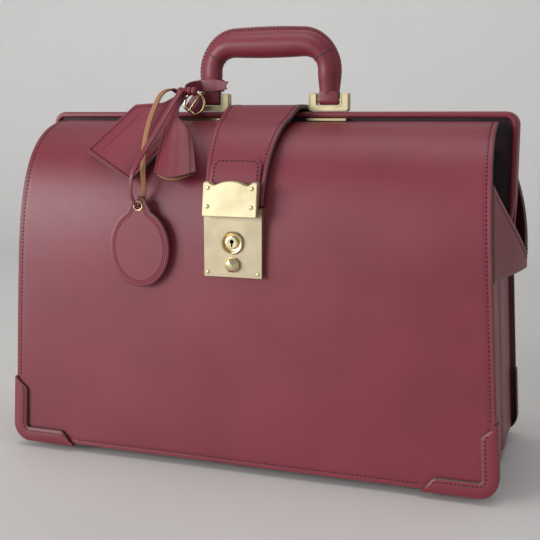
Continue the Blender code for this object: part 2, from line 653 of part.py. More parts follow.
def lock(panel):
    """A riveted plate on a hollow case that passes through the panel, with plug, bolt and button."""
    back = LOCK_FACE_Y + LOCK_PLATE_T
    outline = [(-LOCK_HALF, LOCK_LOW_Z), (LOCK_HALF, LOCK_LOW_Z), (LOCK_HALF, LOCK_TOP_Z), (-LOCK_HALF, LOCK_TOP_Z)]
    plate = prism("lock_plate", outline, "Y", LOCK_FACE_Y, back, BRASS, "front_shoulder")
    catch = box(
        "lock_catch", (-0.006, hasp_face() + HASP_LIP + 2 * GAP, LOCK_TOP_Z - 0.0055),
        (0.006, back - LOCK_PLATE_T / 2, LOCK_TOP_Z - 0.0015), BRASS, "front_shoulder",
    )
    combine(plate, catch, "UNION")
    for index, (hand, z) in enumerate(((-1, LOCK_LOW_Z), (1, LOCK_LOW_Z))):
        spot = (hand * (LOCK_HALF - 0.0028), z + 0.0028)
        head = disc(
            f"lock_rivet_{index}", "Y", spot, 0.0011, LOCK_FACE_Y - 0.0005, LOCK_FACE_Y + LOCK_PLATE_T / 2, BRASS,
            "front_shoulder", sides=10,
        )
        combine(plate, head, "UNION")
    flange = [(back + GAP, LOCK_LOW_Z)]
    for i in range(5):
        z = LOCK_LOW_Z + (LOCK_TOP_Z - LOCK_LOW_Z) * i / 4
        flange.append((-(shoulder_depth(z) + GAP), z))
    flange.append((back + GAP, LOCK_TOP_Z))
    case = prism("lock_case", flange, "X", GAP - LOCK_HALF, LOCK_HALF - GAP, BRASS, "front_shoulder")
    inside = box(
        "case_box", (-CASE_HALF, back + 2 * GAP, CASE_LOW_Z), (CASE_HALF, CASE_BACK_Y, CASE_TOP_Z), BRASS,
        "front_shoulder",
    )
    combine(case, inside, "UNION")
    w = CASE_WALL
    hollow = box(
        "case_hollow", (w - CASE_HALF, back - GAP, CASE_LOW_Z + w), (CASE_HALF - w, CASE_BACK_Y - w, CASE_TOP_Z - w),
        BRASS, "front_shoulder",
    )
    combine(case, hollow, "DIFFERENCE")
    window = box(
        "lock_window", (-CASE_HALF - GAP, LOCK_FACE_Y, CASE_LOW_Z - GAP),
        (CASE_HALF + GAP, CASE_BACK_Y, CASE_TOP_Z + GAP),
        LEATHER_RED, "front_shoulder",
    )
    combine(panel, window, "DIFFERENCE")
    key, button = (0.0, KEY_Z), (0.0, BUTTON_Z)
    for spot, radius, label in ((key, PLUG_R, "plug"), (button, BUTTON_STEM_R, "button")):
        hole = disc(
            f"{label}_hole", "Y", spot, radius + 2 * RUNNING, LOCK_FACE_Y - GAP, back + GAP, BRASS, "front_shoulder"
        )
        combine(plate, hole, "DIFFERENCE")
    ring_face = LOCK_FACE_Y - GAP
    ring = disc("lock_ring", "Y", key, RING_R, ring_face - RING_T, ring_face, BRASS, "front_shoulder", sides=20)
    bore = disc(
        "ring_bore", "Y", key, PLUG_R + 2 * RUNNING, ring_face - RING_T - GAP, ring_face + GAP, BRASS, "front_shoulder"
    )
    combine(ring, bore, "DIFFERENCE")
    plug = disc("key_plug", "Y", key, PLUG_R, ring_face - RING_T + 0.0006, LOCK_FACE_Y + 0.009, BRASS, "key_plug")
    slot = box(
        "key_slot", (-0.0006, ring_face - RING_T - GAP, KEY_Z - 0.003), (0.0006, ring_face, KEY_Z + 0.002), BRASS,
        "key_plug",
    )
    combine(plug, slot, "DIFFERENCE")
    bolt_y = (LOCK_FACE_Y + 0.0095, CASE_BACK_Y - CASE_WALL - 0.001)
    box("lock_bolt", (-0.010, bolt_y[0], KEY_Z + 0.001), (0.010, bolt_y[1], CASE_TOP_Z - CASE_WALL - 0.0045), STEEL,
        "lock_bolt")
    cap = LOCK_FACE_Y - BUTTON_OUT
    loops = []
    for y, radius in ((cap, 0.6 * BUTTON_R), (cap + 0.0018, BUTTON_R), (LOCK_FACE_Y - 0.0031, BUTTON_R)):
        loops.append([(x, y, z) for x, z in arc(0, BUTTON_Z, radius, 0, 330, 11)])
    for y, radius in ((LOCK_FACE_Y - 0.0030, BUTTON_STEM_R), (LOCK_FACE_Y + 0.012, BUTTON_STEM_R)):
        loops.append([(x, y, z) for x, z in arc(0, BUTTON_Z, radius, 0, 330, 11)])
    lofted("release_button", loops, BRASS, "release_button")


def tag_slope():
    """The slope on which the tags hang from the knot and just clear the shoulder, and the point they clear."""
    best = None
    for here, lifted in zip(shoulder(steps=160), shoulder(-TAG_CLEAR - TAG_T / 2, 160)):
        slope = math.atan2(KNOT_Z - lifted.y, lifted.x + KNOT_Y)
        if best is None or slope < best[0]:
            best = (slope, here)
    return best


def tag_touch(x):
    """The point of the shoulder, at x from the handle's left leg, that the tags just clear."""
    here = tag_slope()[1]
    return Vector((x - HANDLE_LEG_X, -here.x, here.y))


def tag_point(x, down, out):
    """A point on the sloping plane where the tags lie against the shoulder, lifted out from it."""
    slope = tag_slope()[0]
    normal = Vector((0, -math.sin(slope), math.cos(slope)))
    along = Vector((0, -math.cos(slope), -math.sin(slope)))
    return tag_touch(x) + along * down + normal * (TAG_CLEAR + out)


def tongue_end():
    """How far up the slope the tags' tongues reach, to the underside of the knot."""
    touch = tag_touch(0.0)
    return KNOT_R + 4 * GAP - math.hypot(KNOT_Y - touch.y, KNOT_Z - touch.z)


def tag_plate(name, outline, low, thickness, body):
    """A flat leather piece on the tags' plane, its outline given as (x from the leg, distance down the slope)."""
    loops = [[tag_point(x, down, low + t) for x, down in outline] for t in (0.0, thickness)]
    return lofted(name, loops, LEATHER_RED, body)


def name_tag():
    """A stitched address tag with clipped corners and a tongue that runs up to the knot."""
    w, tip = NAME_TAG_W / 2, NAME_TAG_TIP / 2
    foot = Vector((-0.0621, 0.0234))
    turn = Matrix.Rotation(NAME_TAG_TURN, 2)

    def turned(u, v):
        spun = turn @ Vector((u, v))
        return (foot.x + spun.x, foot.y - spun.y)

    right = [turned(w, 0), turned(w, NAME_TAG_SHOULDER), turned(tip, NAME_TAG_L)]
    left = [turned(-tip, NAME_TAG_L), turned(-w, NAME_TAG_SHOULDER), turned(-w, 0)]
    top = tongue_end()
    tongue = [(-0.0100, top), (-0.0190, top)]
    tag_plate("name_tag", right + tongue + left, 0.0, TAG_T, "name_tag")


def key_bell():
    """A bell of leather that covers a key, with a narrow neck up to the knot."""
    foot = [(-0.0155, 0.0300), (-0.0055, 0.0370), (0.0075, 0.0395), (0.0215, 0.0290)]
    top = tongue_end()
    right = [(0.0065, -0.0160), (-0.0015, -0.0290), (-0.0030, top)]
    left = [(-0.0090, top), (-0.0115, -0.0290), (-0.0195, -0.0160)]
    tag_plate("key_bell", foot + right + left, TAG_T + 2 * GAP, BELL_T, "key_bell")


def charm():
    """A plain oval leather tag with a neck, a brass eyelet and the lace that it hangs on."""
    touch = tag_touch(CHARM_X)
    x, hole_z = touch.x, touch.z - EYELET_DROP
    half = CHARM_W / 2
    mid = hole_z - CHARM_H / 2 - 0.002
    body = [(x + half * c, mid + (CHARM_H / 2) * s) for c, s in arc(0, 0, 1, 115, 425, 22)]
    neck = [(x + c, hole_z + s) for c, s in arc(0, 0, 0.0085, 20, 160, 5)]
    tag = prism("charm_tag", body + neck, "Y", CHARM_Y, CHARM_Y + TAG_T, LEATHER_RED, "charm")
    spot = (x, hole_z)
    hole = disc("charm_hole", "Y", spot, EYELET_R + GAP, CHARM_Y - GAP, CHARM_Y + TAG_T + GAP, BRASS, "charm")
    combine(tag, hole, "DIFFERENCE")
    ring = disc("charm_eyelet", "Y", spot, EYELET_R, CHARM_Y - 0.0005, CHARM_Y + TAG_T, BRASS, "charm")
    bore = disc("eyelet_bore", "Y", spot, EYELET_R - 0.0012, CHARM_Y - 0.002, CHARM_Y + 0.006, BRASS, "charm")
    combine(ring, bore, "DIFFERENCE")


def lace_route():
    """The lace's own points: down behind the charm, through its eyelet from the back and up to the knot."""
    offsets = [
        (-0.0207, 0.0336, 0.0482), (-0.0255, 0.0304, 0.0502), (-0.0300, 0.0192, 0.0449),
        (-0.0320, 0.0032, 0.0249), (-0.0290, -0.0148, 0.0029), (-0.0245, -0.0273, -0.0176),
        (-0.0240, -0.0276, -0.0296), (-0.0257, -0.0246, -0.0376), (-0.0277, -0.0240, -0.0434),
        (-0.0285, -0.0283, -0.0462), (-0.0293, -0.0330, -0.0450), (-0.0315, -0.0363, -0.0346),
        (-0.0305, -0.0358, -0.0206), (-0.0255, -0.0288, -0.0056), (-0.0205, -0.0143, 0.0114),
        (-0.0165, 0.0032, 0.0299), (-0.0145, 0.0192, 0.0434), (-0.0145, 0.0280, 0.0486),
    ]
    return [tag_touch(x) + Vector((0, y, z)) for x, y, z in offsets]


def smooth_route(points, count):
    """Evenly spread points on a smooth curve through the route's own points."""
    curve = []
    steps = 12
    for i in range(len(points) - 1):
        p = [Vector(points[min(max(i + k, 0), len(points) - 1)]) for k in (-1, 0, 1, 2)]
        for s in range(steps):
            t = s / steps
            bend = 2 * p[1] + (p[2] - p[0]) * t
            bend += (2 * p[0] - 5 * p[1] + 4 * p[2] - p[3]) * t * t
            bend += (3 * p[1] - p[0] - 3 * p[2] + p[3]) * t**3
            curve.append(bend / 2)
    curve.append(Vector(points[-1]))
    lengths = [0.0]
    for a, b in zip(curve, curve[1:]):
        lengths.append(lengths[-1] + (b - a).length)
    spread = []
    for i in range(count):
        want = lengths[-1] * i / (count - 1)
        k = max(j for j in range(len(lengths)) if lengths[j] <= want + 1e-9)
        if k == len(curve) - 1:
            spread.append(curve[-1])
            continue
        share = (want - lengths[k]) / (lengths[k + 1] - lengths[k])
        spread.append(curve[k].lerp(curve[k + 1], share))
    return spread


def charm_lace():
    points = smooth_route(lace_route(), 60)
    line = bpy.data.curves.new("charm_lace", "CURVE")
    line.dimensions = "3D"
    line.bevel_depth = LACE_R
    line.bevel_resolution = 2
    line.use_fill_caps = True
    spline = line.splines.new("POLY")
    spline.points.add(len(points) - 1)
    for node, point in zip(spline.points, points):
        node.co = (*point, 1.0)
    line.materials.append(material(LEATHER_DARK))
    made = bpy.data.objects.new("charm_lace", line)
    bpy.context.scene.collection.objects.link(made)
    made.parent = BODIES["charm"]
    made.location = -Vector(JOINTS["charm"])


def tag_belt():
    """A belt round the handle's left leg whose joined ends reach forward to the knot that holds the tags."""
    x, low, high = -HANDLE_LEG_X, BELT_LOW_Z, HANDLE_LEG_END_Z - 2 * GAP
    inner = (TAB_W / 2 + GAP, TAB_R + GAP)
    wide, deep = inner[0] + BELT_T, inner[1] + BELT_T
    y = HANDLE_Y
    knot = JOINTS["tag_hanger"]
    reach = knot[1] + KNOT_R + GAP
    outline = [
        (x + wide, y + deep), (x - wide, y + deep), (x - wide, y - deep + 0.002), (x - 0.016, reach), (x - 0.011, reach),
        (x - 0.0030, y - deep), (x + wide, y - deep),
    ]
    belt = prism("tag_belt", outline, "Z", low, high, LEATHER_RED, "handle")
    opening = box(
        "belt_opening", (x - inner[0], y - inner[1], low - GAP), (x + inner[0], y + inner[1], high + GAP),
        LEATHER_RED, "handle",
    )
    combine(belt, opening, "DIFFERENCE")
    ends = (x + KNOT_X[0], x + KNOT_X[1])
    disc("tag_knot", "X", (knot[1], knot[2]), KNOT_R, ends[0], ends[1], LEATHER_RED, "tag_hanger", sides=14)


def tag_buckle():
    """A strap end that hangs below the belt, and the D buckle on it."""
    turn = Matrix.Rotation(BUCKLE_TILT, 2)

    def tilted(outline):
        spun = [turn @ Vector(p) for p in outline]
        return [(BUCKLE_X - HANDLE_LEG_X + p.x, BUCKLE_Z + p.y) for p in spun]

    w = TAG_STRAP_W / 2
    ends = [(-w, -0.0095), (w, -0.0095), (w, 0.0030), (0.0, 0.0125), (-w, 0.0085)]
    back = TAG_STRAP_Y + TAG_STRAP_T / 2
    front = TAG_STRAP_Y - TAG_STRAP_T / 2
    prism("tag_strap", tilted(ends), "Y", front, back, LEATHER_RED, "handle")

    def loop(inset):
        r = BUCKLE_HALF - inset
        return arc(0, 0.0005, r, 0, 180, 9) + [(-r, inset - 0.0085), (r, inset - 0.0085)]

    face = front - GAP
    buckle = prism("tag_buckle", tilted(loop(0)), "Y", face - BUCKLE_WIRE, face, BRASS, "handle")
    eye = prism("buckle_opening", tilted(loop(BUCKLE_WIRE)), "Y", face - 2 * BUCKLE_WIRE, face + GAP, BRASS, "handle")
    combine(buckle, eye, "DIFFERENCE")


def build():
    for side, end in ((-1, "front"), (1, "back")):
        lower_panel(f"{end}_panel_lower", side)
        panel = upper_panel(f"{end}_panel_upper", side, f"{end}_shoulder")
        if side < 0:
            lock(panel)
        frame_half(f"{end}_frame_bar", side, f"{end}_frame")
        for hand, left_right in ((-1, "left"), (1, "right")):
            hood(f"hood_{end}_{left_right}", hand, side, f"{end}_shoulder")
            corner_guard(f"corner_guard_{end}_{left_right}", hand, side)
    base_and_lining()
    side_pivots()
    for hand, left_right in ((-1, "left"), (1, "right")):
        gusset(f"gusset_{left_right}", hand)
        handle_mount(hand, left_right)
        handle_tab(hand, left_right)
    handle_grip()
    strap()
    hasp()
    name_tag()
    key_bell()
    charm()
    charm_lace()
    tag_belt()
    tag_buckle()


clear_scene()
JOINTS = joint_points()
BODIES = make_bodies()
build()
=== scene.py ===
# %% [markdown]
# # A leather doctor bag
# The bag is a leather shell hung on two hinged frame bars. The imported CAD model gives every piece its
# place and its motion. This lesson dresses it: each leather piece is modelled again as cut, bent and
# sewn leather, and each metal piece as turned or pressed brass. The frame comes in first.

# %% The frame
import math

import bmesh
import bpy
from mathutils import Matrix, Vector


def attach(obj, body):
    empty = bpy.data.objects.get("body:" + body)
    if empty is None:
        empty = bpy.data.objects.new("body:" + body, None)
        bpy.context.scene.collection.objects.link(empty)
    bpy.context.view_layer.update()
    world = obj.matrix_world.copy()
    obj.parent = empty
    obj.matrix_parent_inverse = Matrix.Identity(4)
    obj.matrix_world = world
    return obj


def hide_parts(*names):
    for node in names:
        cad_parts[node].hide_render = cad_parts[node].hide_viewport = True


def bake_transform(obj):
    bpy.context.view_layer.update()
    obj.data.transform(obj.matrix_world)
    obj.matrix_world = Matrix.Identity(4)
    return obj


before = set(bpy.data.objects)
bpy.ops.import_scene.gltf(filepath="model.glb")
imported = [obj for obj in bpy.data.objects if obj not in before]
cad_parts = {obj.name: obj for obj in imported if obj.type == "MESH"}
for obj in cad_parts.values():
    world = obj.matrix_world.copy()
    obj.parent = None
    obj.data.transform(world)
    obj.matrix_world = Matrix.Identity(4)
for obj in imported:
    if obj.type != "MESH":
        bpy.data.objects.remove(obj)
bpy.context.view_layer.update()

# %% [markdown]
# ## The bag's own ruler
# A bag maker measures in millimetres from the bottom edge of the leather and from the line of the side
# pivots. The same ruler is used here, so sizes read like a pattern sheet. One function turns such a
# place into metres in the part's frame, where the studs stand on z = 0.

# %% Ruler
MM = 0.001
SIDES = (("front", -1), ("back", 1))
HANDS = (("left", -1), ("right", 1))
RULER_SHIFT = Vector((0.0, 6.2, 7.0))


def at(x, y, z):
    return (Vector((x, y, z)) + RULER_SHIFT) * MM


print("the ruler's zero is at", tuple(round(c, 4) for c in at(0, 0, 0)))

# %% [markdown]
# ## Camera
# The picture was taken from the front right, a little above the handle's brackets, with a lens of
# moderate length. A camera could be aimed with a Track To constraint, but then its tilt is hidden in the
# constraint, so its three axes are worked out from a turn, a tilt and a small roll.

# %% Camera
TURN, TILT, ROLL = math.radians(19.16), math.radians(9.17), math.radians(0.06)
ahead = Vector((-math.sin(TURN) * math.cos(TILT), math.cos(TURN) * math.cos(TILT), -math.sin(TILT)))
sideways = Vector((math.cos(TURN), math.sin(TURN), 0.0))
upwards = sideways.cross(ahead)
lens = bpy.data.cameras.new("camera")
lens.lens, lens.sensor_width, lens.sensor_fit = 62.5, 36.0, "HORIZONTAL"
lens.clip_start, lens.clip_end = 0.05, 30.0
camera = bpy.data.objects.new("camera", lens)
bpy.context.scene.collection.objects.link(camera)
axes = Matrix((sideways, upwards, -ahead)).transposed() @ Matrix.Rotation(ROLL, 3, "Z")
camera.matrix_world = Matrix.Translation(at(274.1, -792.0, 287.8)) @ axes.to_4x4()
bpy.context.scene.camera = camera
bpy.context.scene.view_settings.view_transform = "Standard"
print("camera at", tuple(round(c, 3) for c in camera.matrix_world.translation))

# %% [markdown]
# ## A way to write materials
# A finish is a small node tree. Wiring nodes one by one hides the recipe, so a socket is wrapped in a
# class that understands +, - and *, and every other node comes from one method. A recipe then reads
# like the sentence "roughness is 0.4 plus a little noise".


# %% Shader sockets as numbers
class Wire:
    """An output socket that takes part in sums: each operator adds one Math node."""

    def __init__(self, finish, socket):
        self.finish, self.socket = finish, socket

    def sum_of(self, operation, first, second):
        return self.finish.node("Math", {"operation": operation}, {0: first, 1: second})

    def __add__(self, other):
        return self.sum_of("ADD", self, other)

    def __radd__(self, other):
        return self.sum_of("ADD", other, self)

    def __sub__(self, other):
        return self.sum_of("SUBTRACT", self, other)

    def __rsub__(self, other):
        return self.sum_of("SUBTRACT", other, self)

    def __mul__(self, other):
        return self.sum_of("MULTIPLY", self, other)

    def __rmul__(self, other):
        return self.sum_of("MULTIPLY", other, self)


class Finish:
    """One material: steady values sit on the shader, and what varies is wired in."""

    def __init__(self, name, **steady):
        self.material = bpy.data.materials.new(name)
        self.material.use_nodes = True
        self.tree = self.material.node_tree
        self.shader = self.tree.nodes["Principled BSDF"]
        for socket, value in steady.items():
            self.feed(socket.replace("_", " "), value)
        self.place = self.node("TexCoord", {}, {}, "Object")

    def node(self, kind, settings, sockets, output=0):
        made = self.tree.nodes.new("ShaderNode" + kind)
        for key, value in settings.items():
            if key == "stops":
                for stop, (position, shade) in zip(made.color_ramp.elements, value):
                    stop.position, stop.color = position, (shade, shade, shade, 1.0)
            else:
                setattr(made, key, value)
        for key, value in sockets.items():
            self.join(made.inputs[key], value)
        return Wire(self, made.outputs[output])

    def join(self, socket, value):
        if isinstance(value, Wire):
            self.tree.links.new(value.socket, socket)
        else:
            socket.default_value = value

    def feed(self, socket, value):
        self.join(self.shader.inputs[socket], value)

    def noise(self, scale, detail=2.0, place=None):
        sockets = {"Vector": place or self.place, "Scale": scale, "Detail": detail}
        return self.node("TexNoise", {}, sockets, "Fac")

    def cells(self, scale):
        return self.node("TexVoronoi", {"feature": "SMOOTH_F1"}, {"Vector": self.place, "Scale": scale})

    def steps(self, value, low, high):
        return self.node("ValToRGB", {"stops": ((low, 0.0), (high, 1.0))}, {0: value})

    def stretched(self, scale):
        return self.node("Mapping", {}, {"Vector": self.place, "Scale": scale})

    def mixed(self, share, first, second):
        colours = {0: share, 6: (*first, 1.0), 7: (*second, 1.0)}
        return self.node("Mix", {"data_type": "RGBA"}, colours, 2)

    def emboss(self, height, strength, depth_mm):
        sockets = {"Height": height, "Strength": strength, "Distance": depth_mm * MM}
        self.feed("Normal", self.node("Bump", {}, sockets))


print("material recipes ready")

# %% [markdown]
# ## Leather finishes
# The shell is smooth, firm cowhide dyed burgundy: a fine pore grain, a slow drift of tone over a hand's
# width, and a waxy satin face. A photograph of grain would tie the part to one picture, so noise and
# Voronoi cells at the size of real pores make it. The cut edges are burnished grey-brown, the flesh side
# is tan, and the thread is a darker red than the leather.


# %% Leather
def leather(name, pale, deep, roughness):
    skin = Finish(name, Coat_Weight=0.06, Coat_Roughness=0.36, Specular_IOR_Level=0.5)
    drift = skin.steps(skin.noise(14.0, 3.0), 0.32, 0.68)
    skin.feed("Base Color", skin.mixed(drift, deep, pale))
    skin.feed("Roughness", roughness - 0.03 + 0.06 * skin.noise(90.0) + 0.03 * drift)
    skin.emboss(0.5 * skin.cells(900.0) + 0.4 * skin.noise(1900.0) + 0.6 * skin.noise(170.0), 0.22, 0.22)
    return skin.material


def plain_fibre(name, pale, deep, roughness, scale, depth_mm):
    fibre = Finish(name)
    mottle = fibre.noise(scale, 4.0)
    fibre.feed("Base Color", fibre.mixed(fibre.steps(mottle, 0.3, 0.7), deep, pale))
    fibre.feed("Roughness", roughness + 0.1 * mottle)
    fibre.emboss(mottle + 0.5 * fibre.noise(scale * 5.0), 0.5, depth_mm)
    return fibre.material


burgundy = leather("burgundy_leather", (0.215, 0.026, 0.042), (0.180, 0.019, 0.031), 0.46)
cut_edge = plain_fibre("burnished_edge", (0.105, 0.075, 0.066), (0.060, 0.040, 0.036), 0.5, 700.0, 0.15)
flesh_side = plain_fibre("flesh_side", (0.42, 0.20, 0.095), (0.30, 0.13, 0.060), 0.75, 500.0, 0.25)
# The bar hems are near-black: painted shade for the dark gaps between the panels and the frame bars.
hem_painted_shade = plain_fibre("hem_painted_shade", (0.030, 0.012, 0.017), (0.018, 0.007, 0.011), 0.7, 400.0, 0.2)
inner_hide = plain_fibre("inner_hide", (0.10, 0.032, 0.034), (0.065, 0.020, 0.022), 0.8, 400.0, 0.25)
print("leather finishes:", burgundy.name, cut_edge.name, flesh_side.name, inner_hide.name)

# %% [markdown]
# ## Thread, metal, cloth and board
# Sewing thread is twisted, so a fine wave runs along it. The fittings are pale brass: the plates are
# brushed up and down, and the turned pieces are polished. Polished brass with no marks looks like
# plastic, so faint noise breaks up its gloss.


# %% Thread and fittings
def twisted_thread(name, colour, dark):
    thread = Finish(name, Roughness=0.6)
    twist = thread.noise(2600.0)
    thread.feed("Base Color", thread.mixed(twist, dark, colour))
    thread.emboss(twist, 0.6, 0.12)
    return thread.material


def brass(name, colour, worn, roughness, brushing):
    metal = Finish(name, Metallic=1.0)
    streak = metal.noise(1.0, 3.0, metal.stretched(brushing))
    tarnish = metal.steps(metal.noise(60.0, 3.0), 0.35, 0.75)
    metal.feed("Base Color", metal.mixed(tarnish, colour, worn))
    metal.feed("Roughness", roughness + 0.10 * streak + 0.05 * tarnish)
    metal.emboss(streak, 0.05, 0.05)
    return metal.material


def woven(name, pale, deep):
    cloth = Finish(name, Roughness=0.9)
    warp = cloth.noise(1.0, 2.0, cloth.stretched((1500.0, 1500.0, 160.0)))
    weft = cloth.noise(1.0, 2.0, cloth.stretched((160.0, 160.0, 1500.0)))
    cloth.feed("Base Color", cloth.mixed(warp * 0.5 + weft * 0.5, deep, pale))
    cloth.emboss(warp + weft, 0.6, 0.2)
    return cloth.material


thread_red = twisted_thread("red_thread", (0.055, 0.006, 0.013), (0.028, 0.003, 0.007))
plate_brass = brass("brushed_brass", (0.66, 0.58, 0.375), (0.56, 0.485, 0.30), 0.50, (900.0, 900.0, 12.0))
# The lock's satin brass is darker than the plate brass: the satin finish is the metal's, the darker colour is
# painted shade.
satin_brass_painted_shade = brass("satin_brass_painted_shade", (0.50, 0.43, 0.295), (0.43, 0.365, 0.24), 0.46, (900.0, 900.0, 12.0))
bright_brass = brass("polished_brass", (0.80, 0.67, 0.39), (0.70, 0.57, 0.31), 0.17, (300.0, 300.0, 300.0))
steel_grey = brass("steel", (0.45, 0.45, 0.46), (0.36, 0.35, 0.35), 0.32, (60.0, 60.0, 900.0))
tray_cloth = woven("lining_cloth", (0.20, 0.14, 0.10), (0.12, 0.08, 0.055))
keyhole_dark = plain_fibre("keyhole_shade", (0.016, 0.014, 0.012), (0.008, 0.007, 0.006), 0.6, 300.0, 0.05)
board_fibre = plain_fibre("fibre_board", (0.26, 0.19, 0.13), (0.19, 0.13, 0.085), 0.85, 240.0, 0.3)
print("fittings:", plate_brass.name, satin_brass_painted_shade.name, bright_brass.name, steel_grey.name)

# %% [markdown]
# ## Tools of the bench
# Four helpers make nearly every piece. `made` turns points and faces into an object. `cut_leather`
# takes a grid of points on the grain side and gives the leather its thickness, its rounded cut edge and
# its flesh side. `lofted` joins rings of points into a solid, for rolled and turned pieces. `settle` puts
# a piece on its CAD body and hides the CAD nodes it stands for.


# %% Bench: meshes
def made(name, points, faces, finishes, lanes=None, crease=40.0):
    mesh = bpy.data.meshes.new(name)
    mesh.from_pydata([at(*p) for p in points], [], faces)
    for finish in finishes:
        mesh.materials.append(finish)
    if lanes:
        mesh.polygons.foreach_set("material_index", lanes)
    shape = bmesh.new()
    shape.from_mesh(mesh)
    bmesh.ops.recalc_face_normals(shape, faces=shape.faces)
    shape.to_mesh(mesh)
    shape.free()
    mesh.shade_smooth()
    mesh.set_sharp_from_angle(angle=math.radians(crease))
    piece = bpy.data.objects.new(name, mesh)
    bpy.context.scene.collection.objects.link(piece)
    return piece


def settle(piece, body, *nodes, slot="burgundy_leather"):
    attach(piece, body)
    if nodes:
        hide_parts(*nodes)
    return piece


def fitted(piece, body, *nodes):
    """A brass fitting on its body."""
    return settle(piece, body, *nodes, slot="pale_brass")


def bend_between(piece, first, second, start, end, *nodes):
    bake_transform(piece)
    if nodes:
        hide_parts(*nodes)
    return piece


print("bench: made, settle, fitted, bend_between")


# %% Bench: cut leather
def grid_normals(grid, outside):
    """The outward direction at each grid point, on the side of the given direction at the middle."""
    rows, cols = len(grid), len(grid[0])
    found = []
    for i in range(rows):
        line = []
        for j in range(cols):
            down = grid[min(i + 1, rows - 1)][j] - grid[max(i - 1, 0)][j]
            across = grid[i][min(j + 1, cols - 1)] - grid[i][max(j - 1, 0)]
            line.append(down.cross(across).normalized())
        found.append(line)
    if found[rows // 2][cols // 2].dot(Vector(outside)) < 0:
        found = [[-n for n in line] for line in found]
    return found


RIM = ((0.16, 0.75), (0.5, 1.0), (0.84, 0.75))


def cut_leather(name, grid, thick, outside, finishes=None, hole=None, bulge=0.35):
    """A sheet with a grain side on the grid, a rounded rim and a flesh side. hole(i, j) leaves cells out."""
    finishes = finishes or (burgundy, cut_edge, inner_hide)
    grid = [[Vector(p) for p in line] for line in grid]
    normals = grid_normals(grid, outside)
    rows, cols = len(grid), len(grid[0])
    points, faces, lanes = [], [], []
    for level in (0.0, thick):
        points += [p - n * level for line, ns in zip(grid, normals) for p, n in zip(line, ns)]
    size = rows * cols
    for i in range(rows - 1):
        for j in range(cols - 1):
            if hole and hole(i, j):
                continue
            a = i * cols + j
            quad = (a, a + 1, a + cols + 1, a + cols)
            faces += [quad, tuple(size + k for k in reversed(quad))]
            lanes += [0, 2]
    border = [(0, j) for j in range(cols)] + [(i, cols - 1) for i in range(1, rows)]
    border += [(rows - 1, j) for j in range(cols - 2, -1, -1)] + [(i, 0) for i in range(rows - 2, 0, -1)]
    rims = []
    for i, j in border:
        inner = grid[min(max(i, 1), rows - 2)][min(max(j, 1), cols - 2)]
        top, n = grid[i][j], normals[i][j]
        away = (top - inner) - n * (top - inner).dot(n)
        away = away.normalized() * bulge * thick * 0.5
        first = len(points)
        points += [top - n * thick * share + away * push for share, push in RIM]
        a = i * cols + j
        rims.append((a, first, first + 1, first + 2, size + a))
    for here, there in zip(rims, rims[1:] + rims[:1]):
        for k in range(4):
            faces.append((here[k], here[k + 1], there[k + 1], there[k]))
            lanes.append(1)
    return made(name, points, faces, finishes, lanes, crease=55.0), normals


print("bench: cut_leather")


# %% Bench: lofts and turned work
def lofted(name, loops, finishes, lanes=None, crease=40.0, closed=False):
    """A skin through rings of equal count; open lofts get end caps. lanes gives each segment a finish."""
    count, rows = len(loops[0]), len(loops)
    points = [p for loop in loops for p in loop]
    faces, marks = [], []
    for row in range(rows if closed else rows - 1):
        low, high = row * count, (row + 1) % rows * count
        for i in range(count):
            j = (i + 1) % count
            faces.append((low + i, low + j, high + j, high + i))
            marks.append(lanes[i] if lanes else 0)
    if not closed:
        faces += [tuple(reversed(range(count))), tuple(range((rows - 1) * count, rows * count))]
        marks += [0, 0]
    return made(name, points, faces, finishes, marks, crease)


def circle(radius, sides, start=0.0):
    turns = [start + 2 * math.pi * i / sides for i in range(sides)]
    return [(radius * math.cos(t), radius * math.sin(t)) for t in turns]


def turned(name, axis, centre, profile, finish, sides=40, crease=35.0, closed=False):
    """A lathe piece: profile is (place along the axis, radius), centre the two other coordinates.

    A closed one is a ring.
    """
    loops = []
    for a, r in profile:
        spots = [(centre[0] + u, centre[1] + v) for u, v in circle(r, sides)]
        loops.append([{"X": (a, u, v), "Y": (u, a, v), "Z": (u, v, a)}[axis] for u, v in spots])
    return lofted(name, loops, [finish], crease=crease, closed=closed)


def inset(outline, distance):
    """A closed outline moved inwards along the bisector at each point."""
    count, result = len(outline), []
    area = sum(outline[i - 1][0] * outline[i][1] - outline[i][0] * outline[i - 1][1] for i in range(count))
    turn = 1.0 if area > 0 else -1.0
    for i in range(count):
        before = (Vector(outline[i]) - Vector(outline[i - 1])).normalized()
        after = (Vector(outline[(i + 1) % count]) - Vector(outline[i])).normalized()
        normal = Vector((-(before + after).y, (before + after).x)).normalized() * turn
        stretch = max(0.35, normal.dot(Vector((-after.y, after.x)) * turn))
        result.append(Vector(outline[i]) + normal * distance / stretch)
    return [tuple(p) for p in result]


def plate(name, outline, lift, rings, finishes, lanes=None, crease=22.0):
    """A flat piece built up in rings (inset, height) from its back to its front; lift maps (u, v, height)."""
    loops = [[lift(u, v, height) for u, v in inset(outline, inward)] for inward, height in rings]
    piece = lofted(name, loops, finishes, crease=crease)
    if lanes:
        count = len(outline)
        for polygon in piece.data.polygons:
            polygon.material_index = lanes[min(polygon.index // count, len(lanes) - 1)]
    return piece


def rounded(corners, radius, steps=5):
    """A closed outline with each corner replaced by an arc-like curve."""
    count, outline = len(corners), []
    for i, corner in enumerate(corners):
        here = Vector(corner)
        reach = radius[i] if isinstance(radius, (list, tuple)) else radius
        back, forth = Vector(corners[i - 1]) - here, Vector(corners[(i + 1) % count]) - here
        start, end = here + back.normalized() * reach, here + forth.normalized() * reach
        for k in range(steps + 1):
            t = k / steps
            outline.append(tuple((1 - t) ** 2 * start + 2 * t * (1 - t) * here + t * t * end))
    return outline


print("bench: lofted, turned, plate")


